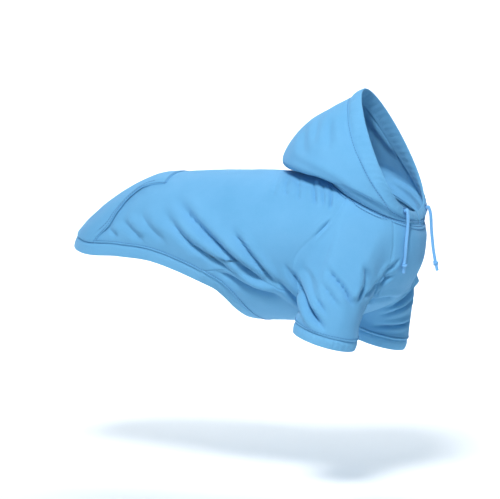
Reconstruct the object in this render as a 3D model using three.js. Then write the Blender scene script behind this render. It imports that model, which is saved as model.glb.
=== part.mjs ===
// A short-sleeved jersey hoodie for a small dog, in the shape it has when worn.
// X points forward, to the neck, Y to the left and Z up, in millimetres. The origin is on the inside
// of the back, over the withers.
import * as THREE from "three";

// Torso
const backLength = 337; // neck seam to rear hem along the back
const chestDepth = 187; // back to breastbone
const chestWidth = 182;
const neckSeamX = 35; // the neck seam's back point, ahead of the origin
const clothWall = 2;
const seamGap = 0.4; // clear gap between sewn panels

// Neck
const neckLength = 125; // withers to throat, along the neck seam's plane
const neckWidth = 118;
const neckTilt = 27.3; // degrees that the throat lies below the withers
const neckWidest = 0.46; // share of the way to the throat at which the neck is widest

// Sleeves
const sleeveReach = 184; // back to the end of the sleeve's cloth
const leftSleeveSag = 17; // the left sleeve hangs this much lower
const cuffLength = 79; // across the cuff, nose to tail
const cuffWidth = 64; // across the cuff, side to side
const cuffTilt = 16; // degrees that the cuff's front lies lower
const cuffBandHeight = 12;
const bandWall = 3; // doubled cloth in hem, cuffs and tunnel

// Hood, worn down
const hoodRise = 108; // withers to the top of the hood's opening
const hoodReach = 66; // how far the pouch lies behind the neck seam
const throatHeight = 15; // hood above the neck seam at the throat
const throatLean = 6; // how far back the hood's opening lies there
const throatSlit = 1.6; // half the slit between the hood's two ends
const tunnelWidth = 18; // drawcord tunnel along the opening

const hemBandHeight = 15;
const hemDroop = 0.9; // how much straighter down the band hangs at the rump

// Kangaroo pocket, on the rump
const pocketWall = 1.6;
const pocketClearance = 0.9; // pocket to back panel
const pocketTopStation = 7.25;
const pocketTopAngle = 34; // half its width, in degrees round the torso
const pocketHemAngle = 78;

// Drawcords and the stitched eyelets they leave the tunnel by
const cordDiameter = 4;
const knotDiameter = 7.4;
const eyeletDiameter = 8; // centre line of the stitching
const eyeletWire = 1.4;
const eyeletAngle = 30; // round the hood from the throat
const eyeletDepth = 6.5; // below the hood's edge
const cordLead = 4.4; // how far a cord stands out before it turns down
const seat = 0.3; // clearance of a piece that rests on another

// Folds
const foldHeight = 3.6;
const foldWidth = 15;

// Grid of each panel
const rearSeamSteps = 13;
const frontSeamSteps = 14;
const sideSeamSteps = 11;
const neckTopSteps = 4;
const backColumns = 38;
const chestColumns = 15;
const hemBunching = 0.6; // how far the columns crowd towards the side seams at the hem
const sleeveRings = 8;
const hoodColumns = 32;
const hoodRings = 11;
const tunnelRings = 1;
const pocketColumns = 16;
const pocketRows = 11;

const blueJersey = new THREE.MeshStandardMaterial({ color: 0x74bcef, roughness: 0.9, metalness: 0 });
const blueRib = new THREE.MeshStandardMaterial({ color: 0x6cb4ea, roughness: 0.92, metalness: 0 });
const blueCord = new THREE.MeshStandardMaterial({ color: 0x7dc0f0, roughness: 0.85, metalness: 0 });

// The torso's cross-sections from neck to tail, each a plane through a top and a bottom point.
// topX and bottomX are shares of backLength behind the neck seam, topZ and bottomZ of chestDepth,
// half of chestWidth, and widest is the share of the way down at which the section is widest.
const torsoSections = [
  { topX: 0.0, topZ: -0.02, bottomX: -0.332, bottomZ: -0.267, half: 0.65, widest: 0.46 },
  { topX: 0.04, topZ: -0.003, bottomX: -0.337, bottomZ: -0.44, half: 0.76, widest: 0.47 },
  { topX: 0.09, topZ: 0, bottomX: -0.312, bottomZ: -0.625, half: 0.87, widest: 0.48 },
  { topX: 0.157, topZ: 0, bottomX: -0.223, bottomZ: -0.83, half: 0.95, widest: 0.48 },
  { topX: 0.252, topZ: 0.003, bottomX: -0.03, bottomZ: -0.955, half: 0.99, widest: 0.48 },
  { topX: 0.37, topZ: -0.003, bottomX: 0.178, bottomZ: -0.987, half: 1, widest: 0.47 },
  { topX: 0.49, topZ: -0.01, bottomX: 0.356, bottomZ: -0.985, half: 0.985, widest: 0.46 },
  { topX: 0.608, topZ: -0.021, bottomX: 0.504, bottomZ: -0.94, half: 0.95, widest: 0.46 },
  { topX: 0.715, topZ: -0.048, bottomX: 0.623, bottomZ: -0.9, half: 0.9, widest: 0.46 },
  { topX: 0.822, topZ: -0.13, bottomX: 0.733, bottomZ: -0.9, half: 0.85, widest: 0.46 },
  { topX: 0.923, topZ: -0.24, bottomX: 0.816, bottomZ: -0.91, half: 0.79, widest: 0.46 },
  { topX: 1.018, topZ: -0.376, bottomX: 0.89, bottomZ: -0.93, half: 0.72, widest: 0.46 },
  { topX: 1.107, topZ: -0.52, bottomX: 0.96, bottomZ: -0.96, half: 0.65, widest: 0.46 },
];

// The drawcords' centre lines from the eyelets to the tips, in millimetres. The last stretch but one
// is the knot.
const cordPaths = {
  right: [
    [144.4, -34, -49.5], [144.2, -33.8, -59], [143.8, -35, -70],
    [143.4, -36.8, -82], [142.5, -36.5, -94], [140.9, -35, -103],
    [140.5, -34.7, -106], [139.9, -34.2, -109], [138.8, -33, -116],
  ],
  left: [
    [146, 34, -49.5], [147, 34, -65], [149.6, 33.2, -88],
    [152.6, 33, -105], [153.4, 33, -108.5], [154.1, 33, -111.5], [155.6, 33, -118],
  ],
};

// The rear hem: the station along the torso at each angle round it, from the back (0) to the belly.
const hemLine = [
  { angle: 0, station: 11.38 },
  { angle: 35, station: 11.25 },
  { angle: 60, station: 10.85 },
  { angle: 78, station: 10.15 },
  { angle: 91, station: 9.05 },
  { angle: 98, station: 8.1 },
  { angle: 103, station: 7.05 },
  { angle: 110, station: 6.2 },
  { angle: 120, station: 5.67 },
  { angle: 145, station: 5.5 },
  { angle: 180, station: 5.48 },
];

// The armhole, from the underarm up the rear seam, over the neck seam and down the front seam.
// cuff is the angle round the cuff that each point runs down to, and crease says how far the sleeve
// turns down at the seam instead of following the torso.
const armhole = [
  { at: 0, station: 4.1, angle: 133, cuff: 106, crease: 0.64 },
  { at: 1, station: 3.95, angle: 115, cuff: 91, crease: 0.4 },
  { at: 2, station: 3.6, angle: 98, cuff: 74, crease: 0.1 },
  { at: 3, station: 2.7, angle: 88, cuff: 50, crease: 0 },
  { at: 4, station: 1.4, angle: 84.5, cuff: 30, crease: 0 },
  { at: 5, station: 0, angle: 82, cuff: 15, crease: 0 },
  { at: 6, station: 0, angle: 106, cuff: -6, crease: 0 },
  { at: 7, station: 0, angle: 131, cuff: -28, crease: 0 },
  { at: 8, station: 1, angle: 138, cuff: -44, crease: 0 },
  { at: 9, station: 1.9, angle: 143, cuff: -62, crease: 0.1 },
  { at: 10, station: 2.8, angle: 150, cuff: -92, crease: 0.55 },
  { at: 11, station: 3.35, angle: 157, cuff: -150, crease: 1 },
  { at: 12, station: 3.85, angle: 152, cuff: -206, crease: 0.76 },
  { at: 13, station: 4.1, angle: 133, cuff: -254, crease: 0.64 },
];
const underarm = 0;
const neckRear = 5;
const neckFront = 7;

// The side seam, from the underarm to the hem.
const sideSeam = [
  { at: 0, station: 4.1, angle: 133 },
  { at: 0.3, station: 4.6, angle: 117 },
  { at: 0.65, station: 5.35, angle: 108.5 },
  { at: 1, station: 6.14, angle: 111 },
];

// The hood's rings from the neck seam to the opening. backX is a share of hoodReach behind the neck
// seam and backZ a share of hoodRise; sideX is a share of neckLength ahead of the neck seam, sideZ of
// hoodRise and half of half the neck's width; throat runs from 0 at the neck seam to 1 at the opening.
const hoodProfile = [
  { backX: 0, backZ: -0.03, sideX: 0.41, sideZ: -0.28, half: 1.0, throat: 0 },
  { backX: 0.05, backZ: 0.035, sideX: 0.4, sideZ: -0.22, half: 1.07, throat: 0.1 },
  { backX: 0.45, backZ: 0.05, sideX: 0.37, sideZ: -0.17, half: 1.18, throat: 0.2 },
  { backX: 0.86, backZ: 0.07, sideX: 0.36, sideZ: -0.11, half: 1.25, throat: 0.28 },
  { backX: 1.02, backZ: 0.165, sideX: 0.365, sideZ: -0.05, half: 1.26, throat: 0.37 },
  { backX: 0.88, backZ: 0.34, sideX: 0.4, sideZ: 0.02, half: 1.2, throat: 0.5 },
  { backX: 0.54, backZ: 0.55, sideX: 0.46, sideZ: 0.07, half: 1.12, throat: 0.62 },
  { backX: 0.07, backZ: 0.72, sideX: 0.53, sideZ: 0.09, half: 1.03, throat: 0.75 },
  { backX: -0.3, backZ: 0.83, sideX: 0.595, sideZ: 0.09, half: 0.96, throat: 0.88 },
  { backX: -0.58, backZ: 0.935, sideX: 0.645, sideZ: 0.085, half: 0.93, throat: 1 },
];

// The pocket's side edge: the share of its way down and of its widening from top to hem. The steep
// part is the slanted opening.
const pocketOpening = [
  { down: 0, share: 0 },
  { down: 0.2, share: 0.03 },
  { down: 0.33, share: 0.22 },
  { down: 0.45, share: 0.5 },
  { down: 0.62, share: 0.8 },
  { down: 0.8, share: 0.89 },
  { down: 1, share: 1 },
];

// Folds in the cloth, each a line in the side view. X values are shares of backLength behind the
// neck seam, Z values of chestDepth, width of foldWidth and height of foldHeight, below 0 for a
// valley; bow curves the line, and side is -1 for the right, 1 for the left and 0 for both.
const folds = [
  { fromX: 0.6, fromZ: -0.1, toX: 0.11, toZ: -0.71, width: 0.75, height: -1, bow: 0.01, side: 0 },
  { fromX: 0.56, fromZ: -0.1, toX: 0.12, toZ: -0.68, width: 0.8, height: 0.55, bow: -0.04, side: 0 },
  { fromX: 0.63, fromZ: -0.15, toX: 0.2, toZ: -0.68, width: 0.8, height: 0.75, bow: 0.03, side: 0 },
  { fromX: 0.63, fromZ: -0.17, toX: 0.26, toZ: -0.63, width: 0.75, height: -0.85, bow: 0.05, side: 0 },
  { fromX: 0.3, fromZ: -0.32, toX: 0.09, toZ: -0.68, width: 0.7, height: -0.6, bow: 0, side: 0 },
  { fromX: 0.8, fromZ: -0.27, toX: 0.61, toZ: -0.52, width: 0.7, height: -0.5, bow: 0.02, side: 0 },
  { fromX: 0.38, fromZ: -0.6, toX: 0.04, toZ: -0.84, width: 0.7, height: -0.9, bow: 0.06, side: 0 },
  { fromX: 0.07, fromZ: -0.58, toX: -0.14, toZ: -0.99, width: 0.7, height: -1, bow: 0, side: 0 },
  { fromX: 0.06, fromZ: -0.7, toX: -0.07, toZ: -0.99, width: 0.8, height: 0.5, bow: 0.02, side: 0 },
  { fromX: -0.1, fromZ: -0.57, toX: -0.21, toZ: -0.88, width: 0.65, height: -0.7, bow: 0.02, side: 0 },
  { fromX: -0.1, fromZ: -0.975, toX: -0.21, toZ: -1.01, width: 0.5, height: -0.8, bow: 0, side: 1 },
];

const halfChest = chestWidth / 2;
const halfNeck = neckWidth / 2;
const halfCloth = clothWall / 2;
const radians = THREE.MathUtils.degToRad;
const sideSigns = { right: -1, left: 1 };

// The value of one column of a table at a place along it, by a smooth curve through the rows.
function along(table, key, column, at) {
  const last = table.length - 1;
  const place = (i) => (key ? table[i][key] : i);
  let i = 0;
  while (i < last - 1 && at > place(i + 1)) i += 1;
  const slope = (k) => {
    const a = Math.max(0, k - 1);
    const b = Math.min(last, k + 1);
    return (table[b][column] - table[a][column]) / (place(b) - place(a));
  };
  const span = place(i + 1) - place(i);
  const t = (at - place(i)) / span;
  const from = table[i][column];
  const to = table[i + 1][column];
  if (t < 0) return from + slope(i) * span * t;
  if (t > 1) return to + slope(i + 1) * span * (t - 1);
  const easeIn = t * t * (3 - 2 * t);
  return (
    from + (to - from) * easeIn + span * (t * (1 - t) ** 2 * slope(i) - t * t * (1 - t) * slope(i + 1))
  );
}

// A point of the torso's middle surface: station counts cross-sections from the neck, and angle is
// in degrees from the back, positive to the left.
const neckRow = torsoSections[0];
neckRow.bottomX = (-neckLength * Math.cos(radians(neckTilt))) / backLength;
neckRow.bottomZ = neckRow.topZ - (neckLength * Math.sin(radians(neckTilt))) / chestDepth;
neckRow.half = halfNeck / halfChest;
neckRow.widest = neckWidest;

function torsoPoint(station, angle) {
  const value = (column) => along(torsoSections, null, column, station);
  const top = new THREE.Vector3(neckSeamX - value("topX") * backLength, 0, value("topZ") * chestDepth);
  const bottom = new THREE.Vector3(neckSeamX - value("bottomX") * backLength, 0, value("bottomZ") * chestDepth);
  const turn = radians(angle);
  const centre = top.clone().lerp(bottom, value("widest"));
  const end = Math.cos(turn) > 0 ? top : bottom;
  const point = centre.clone().lerp(end, Math.abs(Math.cos(turn)));
  point.y = value("half") * halfChest * Math.sin(turn);
  point.z += halfCloth;
  return point;
}

// How far the folds lift the cloth at a point, in millimetres.
function foldLift(point) {
  let lift = 0;
  for (const fold of folds) {
    const towards = fold.side === 0 ? Math.abs(point.y) : point.y * fold.side;
    const onSide = THREE.MathUtils.smoothstep(towards, 0.25 * halfChest, 0.6 * halfChest);
    const startX = neckSeamX - fold.fromX * backLength;
    const startZ = fold.fromZ * chestDepth;
    const runX = neckSeamX - fold.toX * backLength - startX;
    const runZ = fold.toZ * chestDepth - startZ;
    const run = Math.hypot(runX, runZ);
    const share = ((point.x - startX) * runX + (point.z - startZ) * runZ) / (run * run);
    if (share <= 0 || share >= 1) continue;
    const across = ((point.x - startX) * runZ - (point.z - startZ) * runX) / run;
    const away = (across - fold.bow * run * 4 * share * (1 - share)) / (fold.width * foldWidth);
    lift += onSide * fold.height * foldHeight * Math.sin(Math.PI * share) * Math.exp(-away * away);
  }
  return lift;
}

const nudge = 0.02; // a small step in station, for tangents
function torsoNormal(station, angle) {
  const alongIt = torsoPoint(station + nudge, angle).sub(torsoPoint(station - nudge, angle));
  const roundIt = torsoPoint(station, angle + 1).sub(torsoPoint(station, angle - 1));
  return roundIt.cross(alongIt).normalize();
}

// The torso's surface with its folds.
function torsoSample(station, angle) {
  const flat = torsoPoint(station, angle);
  const normal = torsoNormal(station, angle);
  return { point: flat.clone().addScaledVector(normal, foldLift(flat)), normal };
}

// The wall's direction on a seam where two surfaces meet at an angle: halfway between the two.
function mitre(oneNormal, otherNormal) {
  const middle = oneNormal.clone().add(otherNormal).normalize();
  return middle.divideScalar(Math.max(0.4, middle.dot(oneNormal)));
}

// The way the hood rises from the neck seam at a torso angle, and the way its cloth faces there.
function hoodRiseAt(angle) {
  return hoodPoint(0.7, 180 - angle).sub(torsoPoint(0, angle)).normalize();
}

function hoodFacingAt(angle) {
  const round = torsoPoint(0, angle + 1).sub(torsoPoint(0, angle - 1));
  return hoodRiseAt(angle).cross(round).normalize();
}

function neckDirection(angle) {
  return mitre(torsoNormal(0, angle), hoodFacingAt(angle));
}

// Joins grid rows of { point, normal, wall } into one closed wall of cloth. A row that closes on
// itself makes a tube.
function wallFromGrid(rows, wall, closed = false) {
  const width = rows[0].length;
  const steps = closed ? width : width - 1;
  const positions = [];
  for (const side of [0.5, -0.5]) {
    for (const row of rows) {
      for (const sample of row) {
        const thickness = (sample.wall ?? wall) * side;
        positions.push(...sample.point.clone().addScaledVector(sample.normal, thickness).toArray());
      }
    }
  }
  const layer = rows.length * width;
  const index = [];
  const quad = (a, b, c, d) => index.push(a, b, c, a, c, d);
  for (let i = 0; i + 1 < rows.length; i += 1) {
    for (let j = 0; j < steps; j += 1) {
      const next = (j + 1) % width;
      const corners = [i * width + j, i * width + next, (i + 1) * width + next, (i + 1) * width + j];
      quad(...corners);
      quad(...corners.map((corner) => corner + layer).reverse());
    }
  }
  const corner = (k) => new THREE.Vector3().fromArray(positions, 3 * k);
  // A rim is split along its shorter diagonal, so that two pieces split a shared seam alike.
  const rim = (a, b) => {
    const split = corner(a).distanceTo(corner(b + layer)) < corner(b).distanceTo(corner(a + layer));
    if (split) quad(a, a + layer, b + layer, b);
    else quad(b, a, a + layer, b + layer);
  };
  for (let j = 0; j < steps; j += 1) {
    const next = (j + 1) % width;
    rim(j, next);
    rim((rows.length - 1) * width + next, (rows.length - 1) * width + j);
  }
  if (!closed) {
    for (let i = 0; i + 1 < rows.length; i += 1) {
      rim((i + 1) * width, i * width);
      rim(i * width + width - 1, (i + 1) * width + width - 1);
    }
  }
  const geometry = new THREE.BufferGeometry();
  geometry.setAttribute("position", new THREE.Float32BufferAttribute(positions, 3));
  geometry.setIndex(index);
  if (volumeOf(geometry) < 0) {
    for (let k = 0; k < index.length; k += 3) [index[k], index[k + 1]] = [index[k + 1], index[k]];
    geometry.setIndex(index);
  }
  geometry.computeVertexNormals();
  return geometry;
}

function volumeOf(geometry) {
  const position = geometry.getAttribute("position");
  const corner = (k) => new THREE.Vector3().fromBufferAttribute(position, geometry.index.getX(k));
  let sum = 0;
  for (let k = 0; k < geometry.index.count; k += 3) {
    sum += corner(k).dot(corner(k + 1).cross(corner(k + 2)));
  }
  return sum / 6;
}

// The armhole's samples, shared by the sleeve and by the panels beside it.
function armholeSpan(from, to, steps) {
  const samples = [];
  for (let k = 0; k <= steps; k += 1) {
    const at = from + ((to - from) * k) / steps;
    const read = (column) => along(armhole, "at", column, at);
    samples.push({
      station: Math.max(0, read("station")),
      angle: read("angle"),
      cuff: read("cuff"),
      crease: THREE.MathUtils.clamp(read("crease"), 0, 1),
    });
  }
  return samples;
}
const lastArmholeRow = armhole.length - 1;
const rearSeam = armholeSpan(neckRear, underarm, rearSeamSteps);
const neckTop = armholeSpan(neckRear, neckFront, neckTopSteps);
const frontSeam = armholeSpan(neckFront, lastArmholeRow, frontSeamSteps);
const sideSeamPoints = Array.from({ length: sideSeamSteps + 1 }, (_, k) => ({
  station: along(sideSeam, "at", "station", k / sideSeamSteps),
  angle: along(sideSeam, "at", "angle", k / sideSeamSteps),
}));

// A sleeve's rings, from the armhole down to the cuff band. Every curve leaves the seam along the
// torso or bent down by the crease, and arrives square to the cuff.
function sleeveLoft(side) {
  const sign = sideSigns[side];
  const drop = side === "left" ? leftSleeveSag : 0;
  const cuffCentre = new THREE.Vector3(
    neckSeamX + 0.07 * backLength,
    sign * 0.85 * halfChest,
    -sleeveReach - drop,
  );
  const tilt = radians(cuffTilt);
  const cuffForward = new THREE.Vector3(Math.cos(tilt), 0, -Math.sin(tilt));
  const cuffDown = new THREE.Vector3(-Math.sin(tilt), 0, -Math.cos(tilt));
  const ring = [...rearSeam.slice().reverse(), ...neckTop.slice(1), ...frontSeam.slice(1, -1)];
  const seam = ring.map(({ station, angle }) => torsoSample(station, sign * angle));
  const middle = new THREE.Vector3();
  for (const { point } of seam) middle.addScaledVector(point, 1 / seam.length);
  const starts = ring.map(({ angle, cuff, crease }, k) => {
    const into = middle.clone().sub(seam[k].point).projectOnPlane(seam[k].normal).normalize();
    const turn = radians(cuff);
    const end = cuffCentre
      .clone()
      .addScaledVector(cuffForward, -0.5 * cuffLength * Math.sin(turn))
      .add(new THREE.Vector3(0, 0.5 * sign * cuffWidth * Math.cos(turn), 0));
    const run = end.distanceTo(seam[k].point);
    const leave = into.clone().lerp(cuffDown, crease).normalize();
    return { from: seam[k].point, normal: seam[k].normal, angle: sign * angle, leave, end, run };
  });
  return { starts, cuffDown, sign };
}

function sleevePoint({ from, leave, end, run }, cuffDown, t) {
  const startPull = 0.65 * run;
  const endPull = 0.8 * run;
  return from
    .clone()
    .multiplyScalar(1 - t * t * (3 - 2 * t))
    .addScaledVector(end, t * t * (3 - 2 * t))
    .addScaledVector(leave, t * (1 - t) ** 2 * startPull)
    .addScaledVector(cuffDown, -t * t * (1 - t) * endPull);
}

function sleeveRow({ starts, cuffDown, sign }, t) {
  const points = starts.map((start) => sleevePoint(start, cuffDown, t));
  const step = 0.01;
  return points.map((point, k) => {
    const before = points[(k + points.length - 1) % points.length];
    const after = points[(k + 1) % points.length];
    const down = sleevePoint(starts[k], cuffDown, t + step).sub(point);
    const normal = after.clone().sub(before).cross(down).normalize().multiplyScalar(sign);
    return { point, normal };
  });
}

const lofts = { right: sleeveLoft("right"), left: sleeveLoft("left") };
const sleeveStarts = Object.fromEntries(
  Object.entries(lofts).map(([side, loft]) => [side, sleeveRow(loft, 0)]),
);

// The wall's direction at a sample of the armhole ring, on the given side.
function seamDirection(side, k) {
  const { normal } = lofts[side].starts[k];
  return mitre(normal, sleeveStarts[side][k].normal);
}

// For each sample of an edge, the way across the cloth from the edge towards the row beside it.
function inwardFrom(edge, inner, closed = false) {
  const last = edge.length - 1;
  return edge.map((sample, k) => {
    const before = edge[k > 0 ? k - 1 : closed ? last : 0].point;
    const after = edge[k < last ? k + 1 : closed ? 0 : last].point;
    const across = after.clone().sub(before).cross(sample.normal).normalize();
    return across.multiplyScalar(Math.sign(across.dot(inner[k].point.clone().sub(sample.point))));
  });
}

// Pulls an edge back from its seam by half the gap.
function pulledIn(edge, inner, closed = false) {
  const inward = inwardFrom(edge, inner, closed);
  return edge.map((sample, k) => ({
    ...sample,
    point: sample.point.clone().addScaledVector(inward[k], seamGap / 2),
  }));
}

// A torso panel between its two side edges. centre is the angle of its middle line, and edge the
// right side's seam points from the neck to the hem.
function torsoPanel(centre, edge, columns, ringIndex) {
  const rows = edge.map((seamPoint, i) => {
    const t = i / (edge.length - 1);
    const hemAtEdge = along(hemLine, "angle", "station", seamPoint.angle);
    const edgeShare = seamPoint.station / hemAtEdge;
    return Array.from({ length: columns + 1 }, (_, j) => {
      const across = (2 * j) / columns - 1;
      const reach = Math.abs(across);
      const spread = centre === 0 ? seamPoint.angle : 180 - seamPoint.angle;
      const bunched = reach * (1 + hemBunching * t * (1 - reach));
      const fromBack = Math.abs(centre - bunched * spread);
      const middleShare = centre === 0 ? t : edgeShare;
      const share = middleShare + (edgeShare - middleShare) * reach * reach;
      const station = share * along(hemLine, "angle", "station", fromBack);
      const onLeft = centre === 0 ? across > 0 : across < 0;
      const sample = torsoSample(station, onLeft ? fromBack : -fromBack);
      if (i === 0) {
        sample.normal = neckDirection(onLeft ? fromBack : -fromBack);
      } else if (reach === 1 && ringIndex[i] !== undefined) {
        sample.normal = seamDirection(onLeft ? "left" : "right", ringIndex[i]);
      }
      return sample;
    });
  });
  const column = (j) => rows.map((row) => row[j]);
  const [right, left] = [pulledIn(column(0), column(1)), pulledIn(column(columns), column(columns - 1))];
  rows.forEach((row, i) => {
    row[0] = right[i];
    row[columns] = left[i];
  });
  rows[0] = pulledIn(rows[0], rows[1]);
  return rows;
}

const rearEdge = [...rearSeam, ...sideSeamPoints.slice(1)];
const frontEdge = [...frontSeam, ...sideSeamPoints.slice(1)];
const ringLength = rearSeamSteps + neckTopSteps + frontSeamSteps;
const rearRingIndex = rearSeam.map((_, i) => rearSeamSteps - i);
const frontRingIndex = frontSeam.map((_, i) => (rearSeamSteps + neckTopSteps + i) % ringLength);
const backRows = torsoPanel(0, rearEdge, backColumns, rearRingIndex);
const chestRows = torsoPanel(180, frontEdge, chestColumns, frontRingIndex);

function sleeveRows(side) {
  const loft = lofts[side];
  const rows = [];
  for (let i = 0; i <= sleeveRings; i += 1) {
    const row = sleeveRow(loft, (i / sleeveRings) ** 0.9);
    rows.push(
      row.map((sample, k) => {
        if (i === 0) {
          const atNeck = k >= rearSeamSteps && k <= rearSeamSteps + neckTopSteps;
          const normal = atNeck ? neckDirection(loft.starts[k].angle) : seamDirection(side, k);
          return { ...sample, normal };
        }
        const outwards = THREE.MathUtils.smoothstep(loft.sign * sample.normal.y, 0, 0.4);
        const lift = i === sleeveRings ? 0 : outwards * foldLift(sample.point);
        return { ...sample, point: sample.point.clone().addScaledVector(sample.normal, lift) };
      }),
    );
  }
  rows[0] = pulledIn(rows[0], sleeveRow(loft, 0.05), true);
  return rows;
}

// A band of doubled cloth that runs on from the last row of a panel or tube. It hangs straighter
// down than the cloth above it, by droop, where it lies in the torso's upper half.
function bandRows(edgeRow, innerRow, height, droop = 0) {
  const outward = inwardFrom(edgeRow, innerRow, true).map((inward, k) => {
    const across = inward.negate();
    const height = edgeRow[k].point.z;
    across.z -= droop * THREE.MathUtils.smoothstep(height, -0.7 * chestDepth, -0.5 * chestDepth);
    return across.normalize();
  });
  return [0, 1].map((share) =>
    edgeRow.map((sample, k) => ({
      normal: sample.normal,
      point: sample.point.clone().addScaledVector(outward[k], seamGap + share * (height - seamGap)),
    })),
  );
}

// A point of the hood: ring counts the profile's rows, and angle is in degrees from the throat.
function hoodPoint(ring, angle) {
  const value = (column) => along(hoodProfile, null, column, ring);
  const throatX = neckSeamX + neckLength * Math.cos(radians(neckTilt));
  const throatZ = neckRow.topZ * chestDepth - neckLength * Math.sin(radians(neckTilt));
  const front = [throatX - value("throat") * throatLean, throatZ + value("throat") * throatHeight];
  const side = [neckSeamX + value("sideX") * neckLength, value("sideZ") * hoodRise];
  const back = [neckSeamX - value("backX") * hoodReach, value("backZ") * hoodRise];
  const turn = radians(angle);
  const through = (k) => {
    const middle = (front[k] + 2 * side[k] + back[k]) / 4;
    const swing = (front[k] - back[k]) / 2;
    return middle + swing * Math.cos(turn) + ((front[k] - 2 * side[k] + back[k]) / 4) * Math.cos(2 * turn);
  };
  return new THREE.Vector3(through(0), value("half") * halfNeck * Math.sin(turn), through(1) + halfCloth);
}

const lastHoodRing = hoodProfile.length - 1;
const tunnelStart = (angle) => {
  let ring = lastHoodRing;
  let width = 0;
  let here = hoodPoint(ring, angle);
  const step = 0.05;
  const lowest = 0.35 * lastHoodRing;
  while (width < tunnelWidth && ring > lowest) {
    ring -= step;
    const next = hoodPoint(ring, angle);
    width += here.distanceTo(next);
    here = next;
  }
  return ring;
};

function hoodGrid(fromRing, toRing, rings) {
  const throatAngle = THREE.MathUtils.radToDeg(throatSlit / halfNeck);
  return Array.from({ length: rings + 1 }, (_, i) =>
    Array.from({ length: hoodColumns + 1 }, (_, j) => {
      const angle = throatAngle + ((360 - 2 * throatAngle) * j) / hoodColumns;
      const ring = fromRing(angle) + ((toRing(angle) - fromRing(angle)) * i) / rings;
      const point = hoodPoint(ring, angle);
      const up = hoodPoint(ring + nudge, angle).sub(hoodPoint(ring - nudge, angle));
      const round = hoodPoint(ring, angle + 1).sub(hoodPoint(ring, angle - 1));
      return { point, normal: round.cross(up).normalize() };
    }),
  );
}

// The hood's lowest row stands on the neck seam.
function hoodRows() {
  const rows = hoodGrid(() => 0, tunnelStart, hoodRings);
  rows[0] = rows[0].map((_, j) => {
    const throatAngle = THREE.MathUtils.radToDeg(throatSlit / halfNeck);
    const angle = 180 - (throatAngle + ((360 - 2 * throatAngle) * j) / hoodColumns);
    const point = torsoPoint(0, angle).addScaledVector(hoodRiseAt(angle), seamGap / 2);
    return { point, normal: neckDirection(angle) };
  });
  rows[hoodRings] = pulledIn(rows[hoodRings], rows[hoodRings - 1]);
  return rows;
}

function tunnelRows() {
  const rows = hoodGrid(tunnelStart, () => lastHoodRing, tunnelRings);
  rows[0] = pulledIn(rows[0], rows[1]);
  return rows;
}

// Where an eyelet lies on the tunnel, and the way it faces.
function eyeletSeat(side) {
  const angle = side === "right" ? 360 - eyeletAngle : eyeletAngle;
  const edge = hoodPoint(lastHoodRing, angle);
  let ring = lastHoodRing;
  while (edge.distanceTo(hoodPoint(ring, angle)) < eyeletDepth) ring -= nudge;
  const up = hoodPoint(ring + nudge, angle).sub(hoodPoint(ring - nudge, angle));
  const round = hoodPoint(ring, angle + 1).sub(hoodPoint(ring, angle - 1)).normalize();
  return { point: hoodPoint(ring, angle), normal: round.clone().cross(up).normalize(), round };
}

// A round bar along a path, with its own radius at each point. A closed path makes a ring.
function bar(path, radii, sides, closed = false) {
  const count = path.length;
  const positions = [];
  const index = [];
  let across = new THREE.Vector3(0, 1, 0.1);
  const tangentAt = (i) => {
    const after = path[closed ? (i + 1) % count : Math.min(count - 1, i + 1)];
    const before = path[closed ? (i + count - 1) % count : Math.max(0, i - 1)];
    return after.clone().sub(before).normalize();
  };
  path.forEach((centre, i) => {
    const tangent = tangentAt(i);
    if (closed) across = centre.clone().sub(path[(i + count / 2) % count]);
    across = across.clone().projectOnPlane(tangent).normalize();
    const other = tangent.clone().cross(across);
    for (let j = 0; j < sides; j += 1) {
      const turn = (2 * Math.PI * j) / sides;
      const rim = across.clone().multiplyScalar(Math.cos(turn)).addScaledVector(other, Math.sin(turn));
      positions.push(...centre.clone().addScaledVector(rim, radii[i]).toArray());
    }
  });
  for (let i = 0; i < (closed ? count : count - 1); i += 1) {
    const next = (i + 1) % count;
    for (let j = 0; j < sides; j += 1) {
      const k = (j + 1) % sides;
      index.push(i * sides + j, i * sides + k, next * sides + k);
      index.push(i * sides + j, next * sides + k, next * sides + j);
    }
  }
  if (!closed) {
    const last = (count - 1) * sides;
    for (let j = 1; j + 1 < sides; j += 1) {
      index.push(0, j + 1, j);
      index.push(last, last + j, last + j + 1);
    }
  }
  const geometry = new THREE.BufferGeometry();
  geometry.setAttribute("position", new THREE.Float32BufferAttribute(positions, 3));
  geometry.setIndex(index);
  geometry.computeVertexNormals();
  return geometry;
}

function eyelet(side) {
  const { point, normal, round } = eyeletSeat(side);
  const centre = point.clone().addScaledVector(normal, bandWall / 2 + seat + eyeletWire / 2);
  const other = normal.clone().cross(round);
  const steps = 12;
  const path = Array.from({ length: steps }, (_, i) => {
    const turn = (2 * Math.PI * i) / steps;
    const rim = round.clone().multiplyScalar(Math.cos(turn)).addScaledVector(other, Math.sin(turn));
    return centre.clone().addScaledVector(rim, eyeletDiameter / 2);
  });
  return bar(path, Array(steps).fill(eyeletWire / 2), 6, true);
}

// A drawcord from its eyelet to its tip, as one piece with the knot near its end.
function drawcord(side) {
  const { point, normal } = eyeletSeat(side);
  const start = point.clone().addScaledVector(normal, bandWall / 2 + seat);
  const lead = start.clone().addScaledVector(normal, cordLead);
  const points = [start, lead, ...cordPaths[side].map((place) => new THREE.Vector3(...place))];
  const radii = points.map(() => cordDiameter / 2);
  radii[points.length - 3] = knotDiameter / 2;
  return bar(points, radii, 8);
}

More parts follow.
